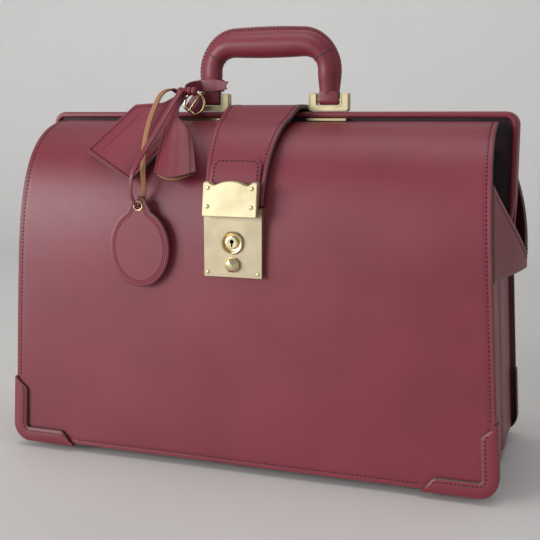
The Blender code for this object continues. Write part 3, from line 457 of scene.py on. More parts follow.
# %% Bench: sewing
def spaced(path, pitch, offset=0.5):
    """Places and directions every pitch millimetres along a path of points."""
    found, walked, wanted = [], 0.0, pitch * offset
    for a, b in zip(path, path[1:]):
        step = (b - a).length
        while step > 0 and wanted <= walked + step:
            found.append((a.lerp(b, (wanted - walked) / step), (b - a).normalized()))
            wanted += pitch
        walked += step
    return found


STITCH = ((-0.5, 0.45, -0.45), (-0.32, 0.95, 0.1), (0.0, 1.0, 0.2), (0.32, 0.95, 0.1), (0.5, 0.45, -0.45))


def sewn(name, path, normal_at, pitch=3.4, length=2.1, radius=0.5, lift=0.1, finish=None):
    """A row of saddle stitches: short rounded threads that dip into the leather at both ends."""
    points, faces = [], []
    for spot, along in spaced([Vector(p) for p in path], pitch):
        up = Vector(normal_at(spot)).normalized()
        side = along.cross(up).normalized()
        slanted = (along + side * 0.16).normalized()
        first = len(points)
        for share, swell, rise in STITCH:
            middle = spot + slanted * length * share + up * (lift + rise * radius)
            for u, v in circle(radius * swell, 6):
                points.append(middle + side * u + up * v)
        for ring in range(4):
            for i in range(6):
                j = (i + 1) % 6
                a = first + ring * 6
                faces.append((a + i, a + j, a + 6 + j, a + 6 + i))
        faces += [tuple(first + i for i in range(6)), tuple(first + 24 + i for i in range(6))]
    return made(name, points, faces, [finish or thread_red])


def smooth_line(points, count):
    """Evenly spread points on a smooth curve through the given ones."""
    points = [Vector(p) for p in points]
    curve = []
    for i in range(len(points) - 1):
        p = [points[min(max(i + k, 0), len(points) - 1)] for k in (-1, 0, 1, 2)]
        for s in range(12):
            t = s / 12
            bend = 2 * p[1] + (p[2] - p[0]) * t + (2 * p[0] - 5 * p[1] + 4 * p[2] - p[3]) * t * t
            curve.append((bend + (3 * p[1] - p[0] - 3 * p[2] + p[3]) * t**3) / 2)
    curve.append(points[-1])
    total = sum((b - a).length for a, b in zip(curve, curve[1:]))
    spread = [spot for spot, _ in spaced(curve, total / (count - 1), 0.0)][: count - 1]
    return spread + [curve[-1]]


print("bench: sewn, smooth_line")

# %% [markdown]
# ## The charm's lace
# The charm hangs on one flat lace, about 5 mm wide: it leaves the knot, drops behind the charm with its
# tan flesh side showing, passes through the eyelet from behind, and climbs back to the knot with its
# dyed side showing. A round curve object would lose the two sides, so the lace is a ribbon that keeps its
# width across the bag along the whole route, with a different finish on each side.

# %% Lace
LACE_ROUTE = [
    (-75.2, -33.6, 310.8), (-80.0, -36.8, 312.8), (-84.5, -48.0, 307.5), (-86.5, -64.0, 287.5),
    (-83.5, -82.0, 265.5), (-79.0, -94.5, 245.0), (-78.5, -94.8, 233.0), (-80.2, -91.8, 225.0),
    (-82.2, -91.2, 219.2), (-83.0, -95.5, 216.4), (-83.8, -100.2, 217.6), (-86.0, -103.5, 228.0),
    (-85.0, -103.0, 242.0), (-80.0, -96.0, 257.0), (-75.0, -81.5, 274.0), (-71.0, -64.0, 292.5),
    (-69.0, -48.0, 306.0), (-69.0, -39.2, 311.2),
]
LACE_HALF_WIDTH, LACE_HALF_THICK, LACE_POINTS = 2.3, 0.8, 120
lace_line = smooth_line(LACE_ROUTE, LACE_POINTS)
lace_length = sum((b - a).length for a, b in zip(lace_line, lace_line[1:]))
lace_loops = []
for i, spot in enumerate(lace_line):
    along = (lace_line[min(i + 1, LACE_POINTS - 1)] - lace_line[max(i - 1, 0)]).normalized()
    wide = (Vector((1, 0, 0)) - along * along.x).normalized()
    face = wide.cross(along)
    narrow = 1.0 - 0.42 * math.exp(-(((i - 66) / 9.0) ** 2))
    w, t = LACE_HALF_WIDTH * narrow, LACE_HALF_THICK
    grain_half = [(w, -t * 0.6), (w, t * 0.6), (w * 0.8, t), (-w * 0.8, t)]
    flesh_half = [(-w, t * 0.6), (-w, -t * 0.6), (-w * 0.8, -t), (w * 0.8, -t)]
    lace_loops.append([spot + wide * u + face * v for u, v in grain_half + flesh_half])
lace = lofted("lace", lace_loops, [burgundy, cut_edge, flesh_side], lanes=[1, 0, 0, 0, 1, 2, 2, 2])
settle(lace, "charm", "charm_lace")
print(f"lace: {lace_length:.1f} mm long")

# %% [markdown]
# ## The charm
# The charm is an oval of veg-tanned leather, bare on its face, with two lines creased round its border
# and a brass eyelet in its neck. A flat ellipse would look like card. Stepping its outline inwards ring
# by ring gives the rounded cut edge and presses the crease lines in as real grooves.


# %% Charm and eyelet
def wire(name, path, radius, finish, flat_axis, closed=False, sides=12):
    """A round wire bent along a path that lies flat across the given axis."""
    path, loops = [Vector(p) for p in path], []
    last = len(path) - 1
    for i, spot in enumerate(path):
        before = path[i - 1] if i or closed else spot
        after = path[(i + 1) % len(path)] if i < last or closed else spot
        side = (after - before).normalized().cross(Vector(flat_axis)).normalized()
        loops.append([spot + side * u + Vector(flat_axis) * v for u, v in circle(radius, sides)])
    return lofted(name, loops, [finish], closed=closed)


def pierced(piece, cutter, finish):
    """The piece with the cutter's shape taken out of it, the cut faces in the given finish."""
    cutter.data.materials.clear()
    cutter.data.materials.append(finish)
    piece.data.materials.append(finish)
    cut = piece.modifiers.new("cut", "BOOLEAN")
    cut.operation, cut.solver, cut.object, cut.material_mode = "DIFFERENCE", "EXACT", cutter, "TRANSFER"
    bpy.context.view_layer.update()
    shaped = bpy.data.meshes.new_from_object(piece.evaluated_get(bpy.context.evaluated_depsgraph_get()))
    shaped.set_sharp_from_angle(angle=math.radians(35.0))
    piece.modifiers.clear()
    piece.data = shaped
    bpy.data.objects.remove(cutter)
    return piece


EYELET_X, EYELET_Z, CHARM_BACK_Y = -83.0, 216.5, -94.0
charm_middle = EYELET_Z - 35.0
charm_outline = []
for i in range(48):
    a = math.radians(114.0 + 312.0 * i / 47)
    charm_outline.append((EYELET_X + 27.4 * math.cos(a), charm_middle + 33.0 * math.sin(a)))
for i in range(9):
    a = math.radians(12.0 + 156.0 * i / 8)
    charm_outline.append((EYELET_X + 8.2 * math.cos(a), EYELET_Z + 8.2 * math.sin(a)))
CREASED = [(0.35, 0.0), (0.0, 0.5), (0.0, 2.3), (0.35, 2.8), (0.9, 3.0), (2.9, 3.0)]
CREASED += [(3.3, 2.62), (3.7, 3.0), (4.6, 3.0), (5.0, 2.62), (5.4, 3.0)]
charm_tag = plate("charm_tag", charm_outline, lambda u, v, h: (u, CHARM_BACK_Y - h, v), CREASED,
                  [burgundy, cut_edge], [1, 1, 1, 0])
charm_hole = turned("charm_hole", "Y", (EYELET_X, EYELET_Z), [(-98.5, 3.3), (-92.0, 3.3)], cut_edge, sides=24)
settle(pierced(charm_tag, charm_hole, cut_edge), "charm", "charm_tag")
eyelet_path = [(EYELET_X + u, -97.1, EYELET_Z + v) for u, v in circle(3.7, 32)]
charm_eyelet = wire("charm_eyelet", eyelet_path, 0.62, bright_brass, (0, 1, 0), closed=True)
fitted(charm_eyelet, "charm", "charm_eyelet")

# %% [markdown]
# ## The shell
# Front and back are each one sheet of firm 3.5 mm leather: upright to the fold line, then rolled over to
# the mouth. A subdivided box could be pulled into this shape, but the seam lines would wander. A grid
# keeps its rows level and its outer columns parallel to the cut edge, so one column is the seam: it is
# pressed in a little, and the stitches follow it. The sheet bends at the fold when the mouth opens; here it
# is one fixed piece and is not blended between the body and the shoulder.

# %% Panel pattern
FOLD_Z, MOUTH_Z, CORNER_R, PANEL_THICK = 156.0, 285.8, 14.0, 3.5
SHOULDER_PULL = ((90.0, 156.0), (90.0, 223.4), (82.738, 281.168), (16.5, 285.8))


def half_width(z):
    return 215.0 - 17.0 * z / MOUTH_Z


def edge_at(z):
    if z >= CORNER_R:
        return half_width(z)
    return half_width(CORNER_R) - CORNER_R + math.sqrt(CORNER_R**2 - (CORNER_R - z) ** 2)


def shoulder(t):
    shares = ((1 - t) ** 3, 3 * (1 - t) ** 2 * t, 3 * (1 - t) * t * t, t**3)
    return tuple(sum(share * pull[k] for share, pull in zip(shares, SHOULDER_PULL)) for k in (0, 1))


heights = [0.0, 0.6, 1.5, 2.6, 3.8, 5.2, 7.4, 10.4, 14.0] + [14.0 + 142.0 * i / 22 for i in range(1, 23)]
PROFILE = [(89.2 + 2.6 * z / FOLD_Z - 1.8 * (z / FOLD_Z) ** 2, z) for z in heights]
PROFILE += [shoulder(i / 48) for i in range(1, 49)]
SEAM = 3.8
SIDE_STEPS = (0.0, 0.9, 2.4, SEAM, 5.2, 8.0, 12.0)


def profile_normal(i):
    low, high = PROFILE[max(i - 1, 0)], PROFILE[min(i + 1, len(PROFILE) - 1)]
    along = Vector((high[0] - low[0], high[1] - low[1])).normalized()
    return Vector((along.y, -along.x))


def depth_at(z):
    for (d0, z0), (d1, z1) in zip(PROFILE, PROFILE[1:]):
        if z0 <= z <= z1:
            return d0 + (d1 - d0) * (z - z0) / (z1 - z0)
    return PROFILE[-1][0]


def shell_grid(face):
    grid = []
    for i, (depth, z) in enumerate(PROFILE):
        edge, n = edge_at(z), profile_normal(i)
        inner = edge - SIDE_STEPS[-1]
        columns = [s - edge for s in SIDE_STEPS] + [-inner + 2 * inner * k / 44 for k in range(1, 44)]
        columns += [edge - s for s in reversed(SIDE_STEPS)]
        line = []
        for j, x in enumerate(columns):
            pressed = 0.35 if j in (3, len(columns) - 4) or i == 4 else 0.0
            swell = 0.5 * math.sin(0.017 * x + 0.5) * math.sin(0.019 * z + 0.2)
            swell += 0.25 * math.sin(0.041 * x) * math.sin(0.033 * z + 1.0)
            push = swell - pressed
            line.append(Vector((x, face * (depth + n.x * push), z + n.y * push)))
        grid.append(line)
    return grid


def shell_normal(face):
    def normal(spot):
        gaps = [(depth - face * spot.y) ** 2 + (z - spot.z) ** 2 for depth, z in PROFILE]
        n = profile_normal(gaps.index(min(gaps)))
        return (0.0, face * n.x, n.y)

    return normal


print(f"panel pattern: {len(PROFILE)} rows from the bottom edge to the mouth")

# %% Front and back shell
GUARD_ARM = 58.0
for side, face in SIDES:
    grid = shell_grid(face)

    def lock_opening(i, j):
        middle = (grid[i][j] + grid[i + 1][j + 1]) / 2
        return face < 0 and abs(middle.x) < 13.0 and 166.0 < middle.z < 205.0

    shell, _ = cut_leather(f"{side}_shell", grid, PANEL_THICK, (0, face, 0), hole=lock_opening)
    bend = ("body", f"{side}_shoulder", at(0, face * 90, 128), at(0, face * 90, 174))
    bend_between(shell, *bend, f"{side}_panel_lower", f"{side}_panel_upper")
    upper = [i for i, (_, z) in enumerate(PROFILE) if z > GUARD_ARM + 1]
    seams = {"left": [grid[i][3] for i in upper], "right": [grid[i][-4] for i in upper]}
    seams["foot"] = [p for p in grid[4] if abs(p.x) < edge_at(0) - GUARD_ARM + 12]
    for where, path in seams.items():
        bend_between(sewn(f"{side}_shell_seam_{where}", path, shell_normal(face)), *bend)
    print(f"{side} shell: {len(shell.data.polygons)} faces, {len(seams)} seams")

# %% [markdown]
# ## Corner guards
# A strip of leather is sewn round each bottom corner and folded over the edge. Its ends run out in an
# S-shaped curve. Cutting the strip from a sheet and folding it needs a cloth simulation; sweeping its
# L-shaped section along the panel's outline, with a width that eases to nothing at both ends, gives the
# same piece and keeps the corner tight.


# %% Corner guards
GUARD_WIDTH, GUARD_FACE = 11.5, 92.1


def guard_stations():
    """Points along the panel's edge, the direction into the panel, and the strip's width at each."""
    stations = [((half_width(z), z), (-1.0, 0.0)) for z in [GUARD_ARM - 44.0 * i / 26 for i in range(26)]]
    middle = half_width(CORNER_R) - CORNER_R
    for i in range(13):
        a = -math.pi / 2 * i / 12
        spot = (middle + CORNER_R * math.cos(a), CORNER_R + CORNER_R * math.sin(a))
        stations.append((spot, (-math.cos(a), -math.sin(a))))
    stations += [((middle - 44.0 * i / 26, 0.0), (0.0, 1.0)) for i in range(1, 27)]
    walked = [0.0]
    for (here, _), (there, _) in zip(stations, stations[1:]):
        walked.append(walked[-1] + math.dist(here, there))
    result = []
    for (spot, inward), s in zip(stations, walked):
        t = min(1.0, min(s, walked[-1] - s) / 12.0)
        result.append((spot, inward, 0.4 + (GUARD_WIDTH - 0.4) * t * t * (3 - 2 * t)))
    return result


def guard_section(w):
    front = [(w, 90.4), (w, 91.3), (w * 0.985 - 0.02, 91.8), (w * 0.95 - 0.1, GUARD_FACE)]
    front.append((w * 0.45 - 0.5, 92.2))
    turn = [(-0.9, 92.0), (-1.55, 91.5), (-1.8, 90.6), (-1.85, 86.0), (-1.8, 81.0), (-1.4, 80.3)]
    return front + turn + [(-0.8, 80.2), (-0.35, 80.8), (-0.3, 86.0), (-0.3, 90.3)]


for side, face in SIDES:
    for hand_name, hand in HANDS:
        loops, seam = [], []
        for (x, z), (nx, nz), w in guard_stations():
            ring = [Vector((hand * (x + nx * n), face * y, z + nz * n)) for n, y in guard_section(w)]
            loops.append(ring)
            if w > 8.0:
                seam.append(Vector((hand * (x + nx * (w - 3.4)), face * 92.15, z + nz * (w - 3.4))))
        name = f"corner_guard_{side}_{hand_name}"
        marks = [1, 1, 1] + [0] * 6 + [1, 1, 1, 0, 0, 0]
        settle(lofted(name, loops, [burgundy, cut_edge], marks, crease=60.0), "body", name)
        settle(sewn(name + "_seam", seam, lambda spot, f=face: (0, f, 0)), "body")
print("four corner guards with their seams")

# %% [markdown]
# ## Ends and hoods
# Each end is closed by a gusset set back from the panels' edges, with a soft crease down its middle where
# it folds. Over it, a hood of two wings spans from the panels to an outer corner, so that nothing falls
# out beside the frame. The wings are sheets stretched between two edges. On the bag they stay with the
# body at the corner and follow the shoulder at the panel; here each wing is one fixed piece.

# %% Gussets and hood wings
for hand_name, hand in HANDS:
    grid = []
    for i in range(27):
        z = 5.0 + 227.6 * i / 26
        reach = min(86.0, depth_at(z) - 5.0)
        line = []
        for k in range(37):
            y = -reach + 2 * reach * k / 36
            fold = 2.6 * math.exp(-((y / 7.0) ** 2)) + 0.7 * math.exp(-(((abs(y) - 42.0) / 16.0) ** 2))
            line.append((hand * (half_width(z) - 4.1 - fold), y, z))
        grid.append(line)
    end, _ = cut_leather(f"gusset_{hand_name}", grid, 2.6, (hand, 0, 0))
    settle(end, "body", f"gusset_{hand_name}")

HOOD_LOW, HOOD_TOP, HOOD_CORNER_X, HOOD_CORNER_TOP = 167.0, 245.0, 223.4, 177.5


def hood_point(hand, face, u, v):
    """u runs from the panel's edge to the outer corner, v from the lower edge to the upper one."""
    z = HOOD_LOW + (HOOD_TOP + (14.0 if face > 0 else -6.0) - HOOD_LOW) * v
    inner = Vector((half_width(z) + 1.2, face * (depth_at(z) - 3.0), z))
    outer = Vector((HOOD_CORNER_X, face * 0.9, HOOD_LOW + (HOOD_CORNER_TOP - HOOD_LOW) * v))
    spot = inner.lerp(outer, u)
    arch, wave = math.sin(math.pi * u), math.sin(2 * math.pi * u)
    spot.x += (4.0 if face > 0 else 2.2) * arch * (0.35 + 0.65 * v) - 0.5 * wave
    spot.z += (2.5 if face > 0 else -2.0) * arch * v
    return Vector((hand * spot.x, spot.y, spot.z))


for side, face in SIDES:
    for hand_name, hand in HANDS:
        grid = [[hood_point(hand, face, k / 24, i / 16) for k in range(25)] for i in range(17)]
        name = f"hood_{side}_{hand_name}"
        wing, normals = cut_leather(name, grid, 2.2, (hand, 0, 0), (burgundy, cut_edge, burgundy))
        bend = ("body", f"{side}_shoulder", at(0, face * 5, 200), at(0, face * 72, 200))
        bend_between(wing, *bend, name)
        seam = []
        for k in range(1, 25):
            top, low = hood_point(hand, face, k / 25, 1.0), hood_point(hand, face, k / 25, 0.0)
            seam.append(top.lerp(low, min(0.45, 5.0 / (top - low).length)))
        out = normals[8][12]
        bend_between(sewn(name + "_seam", seam, lambda spot, n=out: n), *bend)
print("gussets and four hood wings made")

# %% [markdown]
# ## Base and lining
# The base panel carries four brass studs. Inside, a cloth tray stands on a fibre board. These pieces show
# only from below or with the mouth open, but they are built as cloth, board and turned brass all the same.


# %% Base, studs, board and tray
def lying(u, v, h):
    return (u, v, h)


base_outline = rounded([(-207, -86), (207, -86), (207, 86), (-207, 86)], 6.0)
BASE_RINGS = [(0.6, 5.4), (0.0, 4.8), (0.0, 2.6), (0.6, 1.95), (6.0, 1.9), (6.6, 2.2), (7.2, 1.9)]
base = plate("base_panel", base_outline, lying, BASE_RINGS, [burgundy, cut_edge], [1, 1, 1, 0])
settle(base, "body", "base_panel")
STUD_PROFILE = [(1.6, 4.2), (1.2, 6.6), (0.2, 7.0), (-1.4, 7.0), (-3.6, 6.5)]
STUD_PROFILE += [(-5.5, 5.2), (-6.6, 3.2), (-7.0, 1.0)]
for side, face in SIDES:
    for hand_name, hand in HANDS:
        name = f"base_stud_{side}_{hand_name}"
        stud = turned(name, "Z", (hand * 160.0, face * 55.0), STUD_PROFILE, bright_brass)
        fitted(stud, "body", name)
tray_outline = rounded([(-195.9, -85.6), (195.9, -85.6), (195.9, 85.6), (-195.9, 85.6)], 9.0)
TRAY_RINGS = [(8.0, 8.1), (1.0, 8.3), (0.0, 12.0), (0.3, 80.0), (0.0, 148.5), (0.2, 149.7)]
TRAY_RINGS += [(0.6, 150.0), (1.1, 149.6), (1.3, 147.0), (1.5, 80.0), (1.3, 13.0), (2.2, 9.8), (8.0, 9.3)]
tray = plate("lining", tray_outline, lying, TRAY_RINGS, [tray_cloth])
settle(tray, "body", "lining", slot="lining_cloth")
print("base, studs and lining tray made")

# %% [markdown]
# ## Frame bars
# Two leather-covered bars lie side by side along the mouth. Each is a long U whose legs run down inside
# the hoods to a rivet. A beveled curve would keep one section all along, but the legs flatten towards the
# rivet, so the section is swept station by station.


# %% Frame bars
BAR_MID_Z, BAR_REACH, BAR_CORNER_R, PIVOT_Z = 291.1, 210.3, 8.3, 195.0


def soft_box(half_u, half_v, sides=20, power=0.62):
    ring = []
    for u, v in circle(1.0, sides, math.pi / sides):
        ring.append((half_u * math.copysign(abs(u) ** power, u), half_v * math.copysign(abs(v) ** power, v)))
    return ring


def bar_stations():
    """Right half of the bar from rivet to middle: place, outward direction, how far down the leg."""
    low = BAR_MID_Z - BAR_CORNER_R
    stations = []
    for i in range(18):
        z = 197.0 + (low - 197.0) * i / 18
        stations.append(((BAR_REACH, z), (1.0, 0.0), min(1.0, max(0.0, (226.0 - z) / 26.0))))
    middle = BAR_REACH - BAR_CORNER_R
    for i in range(11):
        a = math.pi / 2 * i / 10
        spot = (middle + BAR_CORNER_R * math.cos(a), low + BAR_CORNER_R * math.sin(a))
        stations.append((spot, (math.cos(a), math.sin(a)), 0.0))
    return stations + [((middle * (1 - i / 12), BAR_MID_Z), (0.0, 1.0), 0.0) for i in range(1, 13)]


right_half = bar_stations()
left_half = [((-x, z), (-nx, nz), t) for (x, z), (nx, nz), t in reversed(right_half[:-1])]
for side, face in SIDES:
    loops = []
    for (x, z), (nx, nz), thin in right_half + left_half:
        ease = thin * thin * (3 - 2 * thin)
        shift = face * 1.25 * ease * (1 if nx > 0 else -1)
        deep, thick, y = 5.4 - 1.6 * ease, 2.75 - 1.65 * ease, face * (6.0 - 3.2 * ease)
        ring = [(x + shift + nx * v, y + u, z + nz * v) for u, v in soft_box(deep, thick)]
        loops.append(ring)
    settle(lofted(f"{side}_frame_bar", loops, [burgundy], crease=60.0), f"{side}_frame", f"{side}_frame_bar")
    for hand_name, hand in HANDS:
        near = BAR_REACH - 2.4 if face < 0 else BAR_REACH + 0.2
        profile = [(hand * (near + a), r) for a, r in ((0.0, 6.4), (0.5, 7.0), (1.7, 7.0), (2.2, 6.4))]
        eye = turned(f"{side}_bar_eye_{hand_name}", "X", (0.0, PIVOT_Z), profile, steel_grey)
        settle(eye, f"{side}_frame", slot="steel")
HEM_STRIPS = (
    ("top", (-204.0, 204.0), (262.0, 289.2), 9.4),
    ("left", (-208.6, -193.0), (216.0, 287.0), 9.1),
    ("right", (193.0, 208.6), (216.0, 287.0), 9.1),
)
# The hem strips stand for the inner leather under each bar; their near-black finish is painted shade.
for side, face in SIDES:
    for where, (x0, x1), (z0, z1), y in HEM_STRIPS:
        across = [x0 + (x1 - x0) * k / 12 for k in range(13)]
        grid = [[(x, face * y, z0 + (z1 - z0) * i / 8) for x in across] for i in range(9)]
        hem, _ = cut_leather(f"{side}_bar_hem_{where}", grid, 1.4, (0, face, 0), (hem_painted_shade,) * 3)
        settle(hem, f"{side}_frame")
RIVET_PROFILE = ((206.4, 1.9), (213.2, 2.0), (213.3, 3.5), (213.9, 3.4), (214.4, 2.4), (214.6, 0.6))
for hand_name, hand in HANDS:
    profile = [(hand * a, r) for a, r in RIVET_PROFILE]
    rivet = turned(f"pivot_rivet_{hand_name}", "X", (0.0, PIVOT_Z), profile, bright_brass)
    fitted(rivet, "side_pivots", f"pivot_rivet_{hand_name}")
print("frame bars, eyes and side rivets made")

# %% [markdown]
# ## Handle
# The grip is leather rolled round a core and sewn along its outer edge, so its section is a teardrop: a
# thick round with a flat stitched fin. The section is swept along the handle's bow and shrinks towards
# the legs. Two seams cross the bow at its corners, where three pieces of leather meet.

# %% Rolled grip
HANDLE_Y, LEG_X, BOW_R, GRIP_MID_Z = -5.5, 54.5, 24.0, 353.0
FIN = [(13.2, 0.8), (12.8, 1.6), (10.6, 1.85), (9.0, 2.7)]
LEG_ENDS = (
    (306.5, 0.66, 0.365), (308.2, 0.665, 0.38), (310.0, 0.67, 0.42), (314.0, 0.70, 0.46),
    (318.5, 0.74, 0.55), (322.5, 0.77, 0.63), (325.5, 0.79, 0.68),
)


def grip_section():
    """(outwards from the bow's middle line, across it), from the fin's edge round to the fin's edge."""
    turns = [math.radians(24 + 312 * i / 26) for i in range(27)]
    roll = [(-2.3 + 10.7 * math.cos(a), 11.0 * math.sin(a)) for a in turns]
    return FIN + roll + [(n, -y) for n, y in reversed(FIN)]


def bow_stations():
    """Right leg to the middle of the grip: place, outward direction, and size outwards and across."""
    low = GRIP_MID_Z - BOW_R
    stations = [((LEG_X, z), (1.0, 0.0), outwards, across) for z, outwards, across in LEG_ENDS]
    middle = LEG_X - BOW_R
    for i in range(17):
        a = math.pi / 2 * i / 16
        t, late = min(1.0, i / 13), max(0.0, (i - 4) / 12)
        ease, slow = t * t * (3 - 2 * t), late * late * (3 - 2 * late)
        spot = (middle + BOW_R * math.cos(a), low + BOW_R * math.sin(a))
        stations.append((spot, (math.cos(a), math.sin(a)), 0.79 + 0.17 * slow, 0.69 + 0.31 * ease))
    for i in range(1, 9):
        t = i / 8
        stations.append(((middle * (1 - t), GRIP_MID_Z), (0.0, 1.0), 0.96 + 0.06 * t * (2 - t), 1.0))
    return stations


half_bow = bow_stations()
bow = half_bow + [((-x, z), (-nx, nz), a, b) for (x, z), (nx, nz), a, b in reversed(half_bow[:-1])]


def on_bow(station, n, y):
    (x, z), (nx, nz), outwards, across = station
    return Vector((x + nx * n * outwards, HANDLE_Y + y * across, z + nz * n * outwards))


section = grip_section()
grip_marks = [1, 0, 0, 0] + [0] * (len(section) - 9) + [0, 0, 0, 1, 1]
grip_loops = [[on_bow(s, n, y) for n, y in section] for s in bow]
grip = lofted("handle_grip", grip_loops, [burgundy, cut_edge], grip_marks, crease=50.0)
settle(grip, "handle", "handle_grip")
for face_name, across in SIDES:
    path = [on_bow(s, 11.3, across * 1.8) for s in bow[3:-3]]
    settle(sewn(f"handle_seam_{face_name}", path, lambda spot, f=across: (0, f, 0)), "handle")
for hand_name, at_station in (("right", 13), ("left", len(bow) - 14)):
    ring = [on_bow(bow[at_station], n * 1.004, y * 1.004) for n, y in section[3:-3]]
    out_x, out_z = bow[at_station][1]
    welt = wire(f"handle_join_{hand_name}", ring, 0.5, cut_edge, Vector((out_z, 0.0, -out_x)), sides=8)
    settle(welt, "handle")
print(f"rolled grip: {len(bow)} stations of {len(section)} points")

# %% [markdown]
# ## Handle mounts
# A leather tab hangs each leg on a pin in a brass bracket. The bracket is a milled U: a rim stands round
# its face and the middle is sunk. The rings of `plate` give the rim and the sunk floor in one go.

# %% Tabs, brackets and pins
BRACKET_CORNERS = [(-17.5, 294.1), (17.5, 294.1), (17.5, 309.5), (10.6, 309.5)]
BRACKET_CORNERS += [(10.6, 299.2), (-10.6, 299.2), (-10.6, 309.5), (-17.5, 309.5)]
BRACKET_RINGS = [(0.6, -1.0), (0.0, -1.6), (0.0, -9.6), (0.4, -10.0), (1.1, -10.0), (1.25, -9.4)]
tab_outline = [(HANDLE_Y + 4.1, 311.0), (HANDLE_Y - 4.1, 311.0)]
for i in range(13):
    a = math.pi + math.pi * i / 12
    tab_outline.append((HANDLE_Y + 4.1 * math.cos(a), 303.5 + 4.1 * math.sin(a)))
TAB_RINGS = [(0.9, -8.5), (0.25, -8.2), (0.0, -7.4), (0.0, 7.4), (0.25, 8.2), (0.9, 8.5)]
bracket_outline = rounded(BRACKET_CORNERS, [2.2, 2.2, 1.8, 1.8, 1.6, 1.6, 1.8, 1.8], 4)
for hand_name, hand in HANDS:
    x0 = hand * LEG_X
    name = f"handle_tab_{hand_name}"
    lift = lambda u, v, h, x=x0: (x + h, u, v)
    settle(plate(name, tab_outline, lift, TAB_RINGS, [burgundy, cut_edge], [1, 0, 0, 0, 1]), "handle", name)
    name = f"handle_bracket_{hand_name}"
    lift = lambda u, v, h, x=x0: (x + u, h, v)
    fitted(plate(name, bracket_outline, lift, BRACKET_RINGS, [plate_brass]), "front_frame", name)
    ends = [(x0 + a, r) for a, r in ((-17.3, 1.2), (-16.9, 2.0), (16.9, 2.0), (17.3, 1.2))]
    pin = turned(f"handle_pin_{hand_name}", "X", (HANDLE_Y, 303.5), ends, bright_brass)
    fitted(pin, "front_frame", f"handle_pin_{hand_name}")


def dress(node, finish, round_mm=0.4):
    """A CAD piece that keeps its own shape: it gets its finish and softly broken edges."""
    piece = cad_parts[node]
    piece.data.materials.clear()
    piece.data.materials.append(finish)
    soften = piece.modifiers.new("soft_edges", "BEVEL")
    soften.width, soften.segments, soften.limit_method = round_mm * MM, 2, "ANGLE"
    soften.harden_normals = False


for hand_name in ("left", "right"):
    dress(f"bracket_saddle_{hand_name}", bright_brass)
dress("base_board", board_fibre)
dress("lock_bolt", steel_grey)
print("tabs, brackets, pins and saddles made")

# %% [markdown]
# ## Closing strap
# A broad strap is riveted behind the back bar, runs over the mouth and narrows towards the lock. It is a
# flat strip that hugs the shoulder, so it is laid out as a grid along the shoulder's own curve. On the
# bag its short tail bends at the bar when the strap lifts; here the strap is one fixed piece. A second,
# smaller piece is sewn on where the hasp sits.

# %% Strap
STRAP_LIFT, STRAP_THICK, STRAP_POINTS = 6.2, 3.5, 110


def lifted_shoulder(distance, steps=480):
    line = []
    for k in range(steps):
        (d0, z0), (d1, z1) = shoulder(k / steps), shoulder((k + 1) / steps)
        along = Vector((d1 - d0, z1 - z0)).normalized()
        line.append((-(d0 + along.y * distance), z0 - along.x * distance))
    return line


climb = [p for p in lifted_shoulder(STRAP_LIFT) if p[1] >= 219.5 and p[0] <= -46.0][::20]
STRAP_CREST = [(-40.6, 287.6), (-22.0, 296.4), (-8.0, 297.9), (8.7, 297.9)]
STRAP_CREST += [(10.8, 297.8), (13.0, 296.3), (14.0, 293.1), (14.1, 288.4)]
strap_line = smooth_line([(0, y, z) for y, z in climb + STRAP_CREST], STRAP_POINTS)
strap_length = sum((b - a).length for a, b in zip(strap_line, strap_line[1:]))


def strap_out(i):
    along = (strap_line[min(i + 1, STRAP_POINTS - 1)] - strap_line[max(i - 1, 0)]).normalized()
    return Vector((0.0, -along.z, along.y))


def strap_half(i):
    t = min(1.0, max(0.0, i / 92))
    return 24.5 + 8.5 * (0.35 * t + 0.65 * t * t * (3 - 2 * t))


STRAP_STEPS = (0.0, 0.9, 2.3, 3.5, 4.8, 8.0)
grid = []
for i, spot in enumerate(strap_line):
    half, out = strap_half(i), strap_out(i)
    inner = half - STRAP_STEPS[-1]
    columns = [s - half for s in STRAP_STEPS] + [-inner + 2 * inner * k / 8 for k in range(1, 8)]
    columns += [half - s for s in reversed(STRAP_STEPS)]
    line = []
    for j, x in enumerate(columns):
        pressed = 0.3 if j in (3, len(columns) - 4) else 0.0
        line.append(spot + out * (STRAP_THICK / 2 - pressed) + Vector((x, 0, 0)))
    grid.append(line)
strap_bend = ("back_frame", "strap", at(0, 13, 298), at(0, -8, 298))


def strap_normal(spot):
    gaps = [(p.y - spot.y) ** 2 + (p.z - spot.z) ** 2 for p in strap_line]
    return strap_out(gaps.index(min(gaps)))


strap, _ = cut_leather("strap", grid, STRAP_THICK, (0, -1, 1))
bend_between(strap, *strap_bend, "strap", "strap_tail")
for where, column in (("left", 3), ("right", -4)):
    bend_between(sewn(f"strap_seam_{where}", [line[column] for line in grid], strap_normal), *strap_bend)
for hand_name, hand in HANDS:
    cap = [(16.0, 3.5), (16.6, 3.4), (17.1, 2.4), (17.3, 0.8)]
    rivet = turned(f"strap_rivet_{hand_name}", "Y", (hand * 19.8, 291.9), cap, bright_brass)
    fitted(rivet, "back_frame", f"strap_rivet_{hand_name}")
print(f"strap: {strap_length:.0f} mm along its middle")

# %% Strap patch
PATCH_HALF, PATCH_THICK, PATCH_CORNER, PATCH_TALL, PATCH_SEAM = 21.5, 1.6, 8.0, 37.5, 2.8
strap_step = strap_length / (STRAP_POINTS - 1)


def rounded_half(half, corner, from_top):
    if from_top >= corner:
        return half
    return half - corner + math.sqrt(max(0.0, corner**2 - (corner - max(from_top, 0.0)) ** 2))


def patch_spot(from_top, x, lift):
    """A place on the strap's face: distance below the patch's top edge, across, and above the face."""
    share = (PATCH_TALL - from_top) / strap_step
    i = int(share)
    middle = strap_line[i].lerp(strap_line[i + 1], share - i)
    return middle + strap_out(i) * (STRAP_THICK / 2 + lift) + Vector((x, 0, 0))


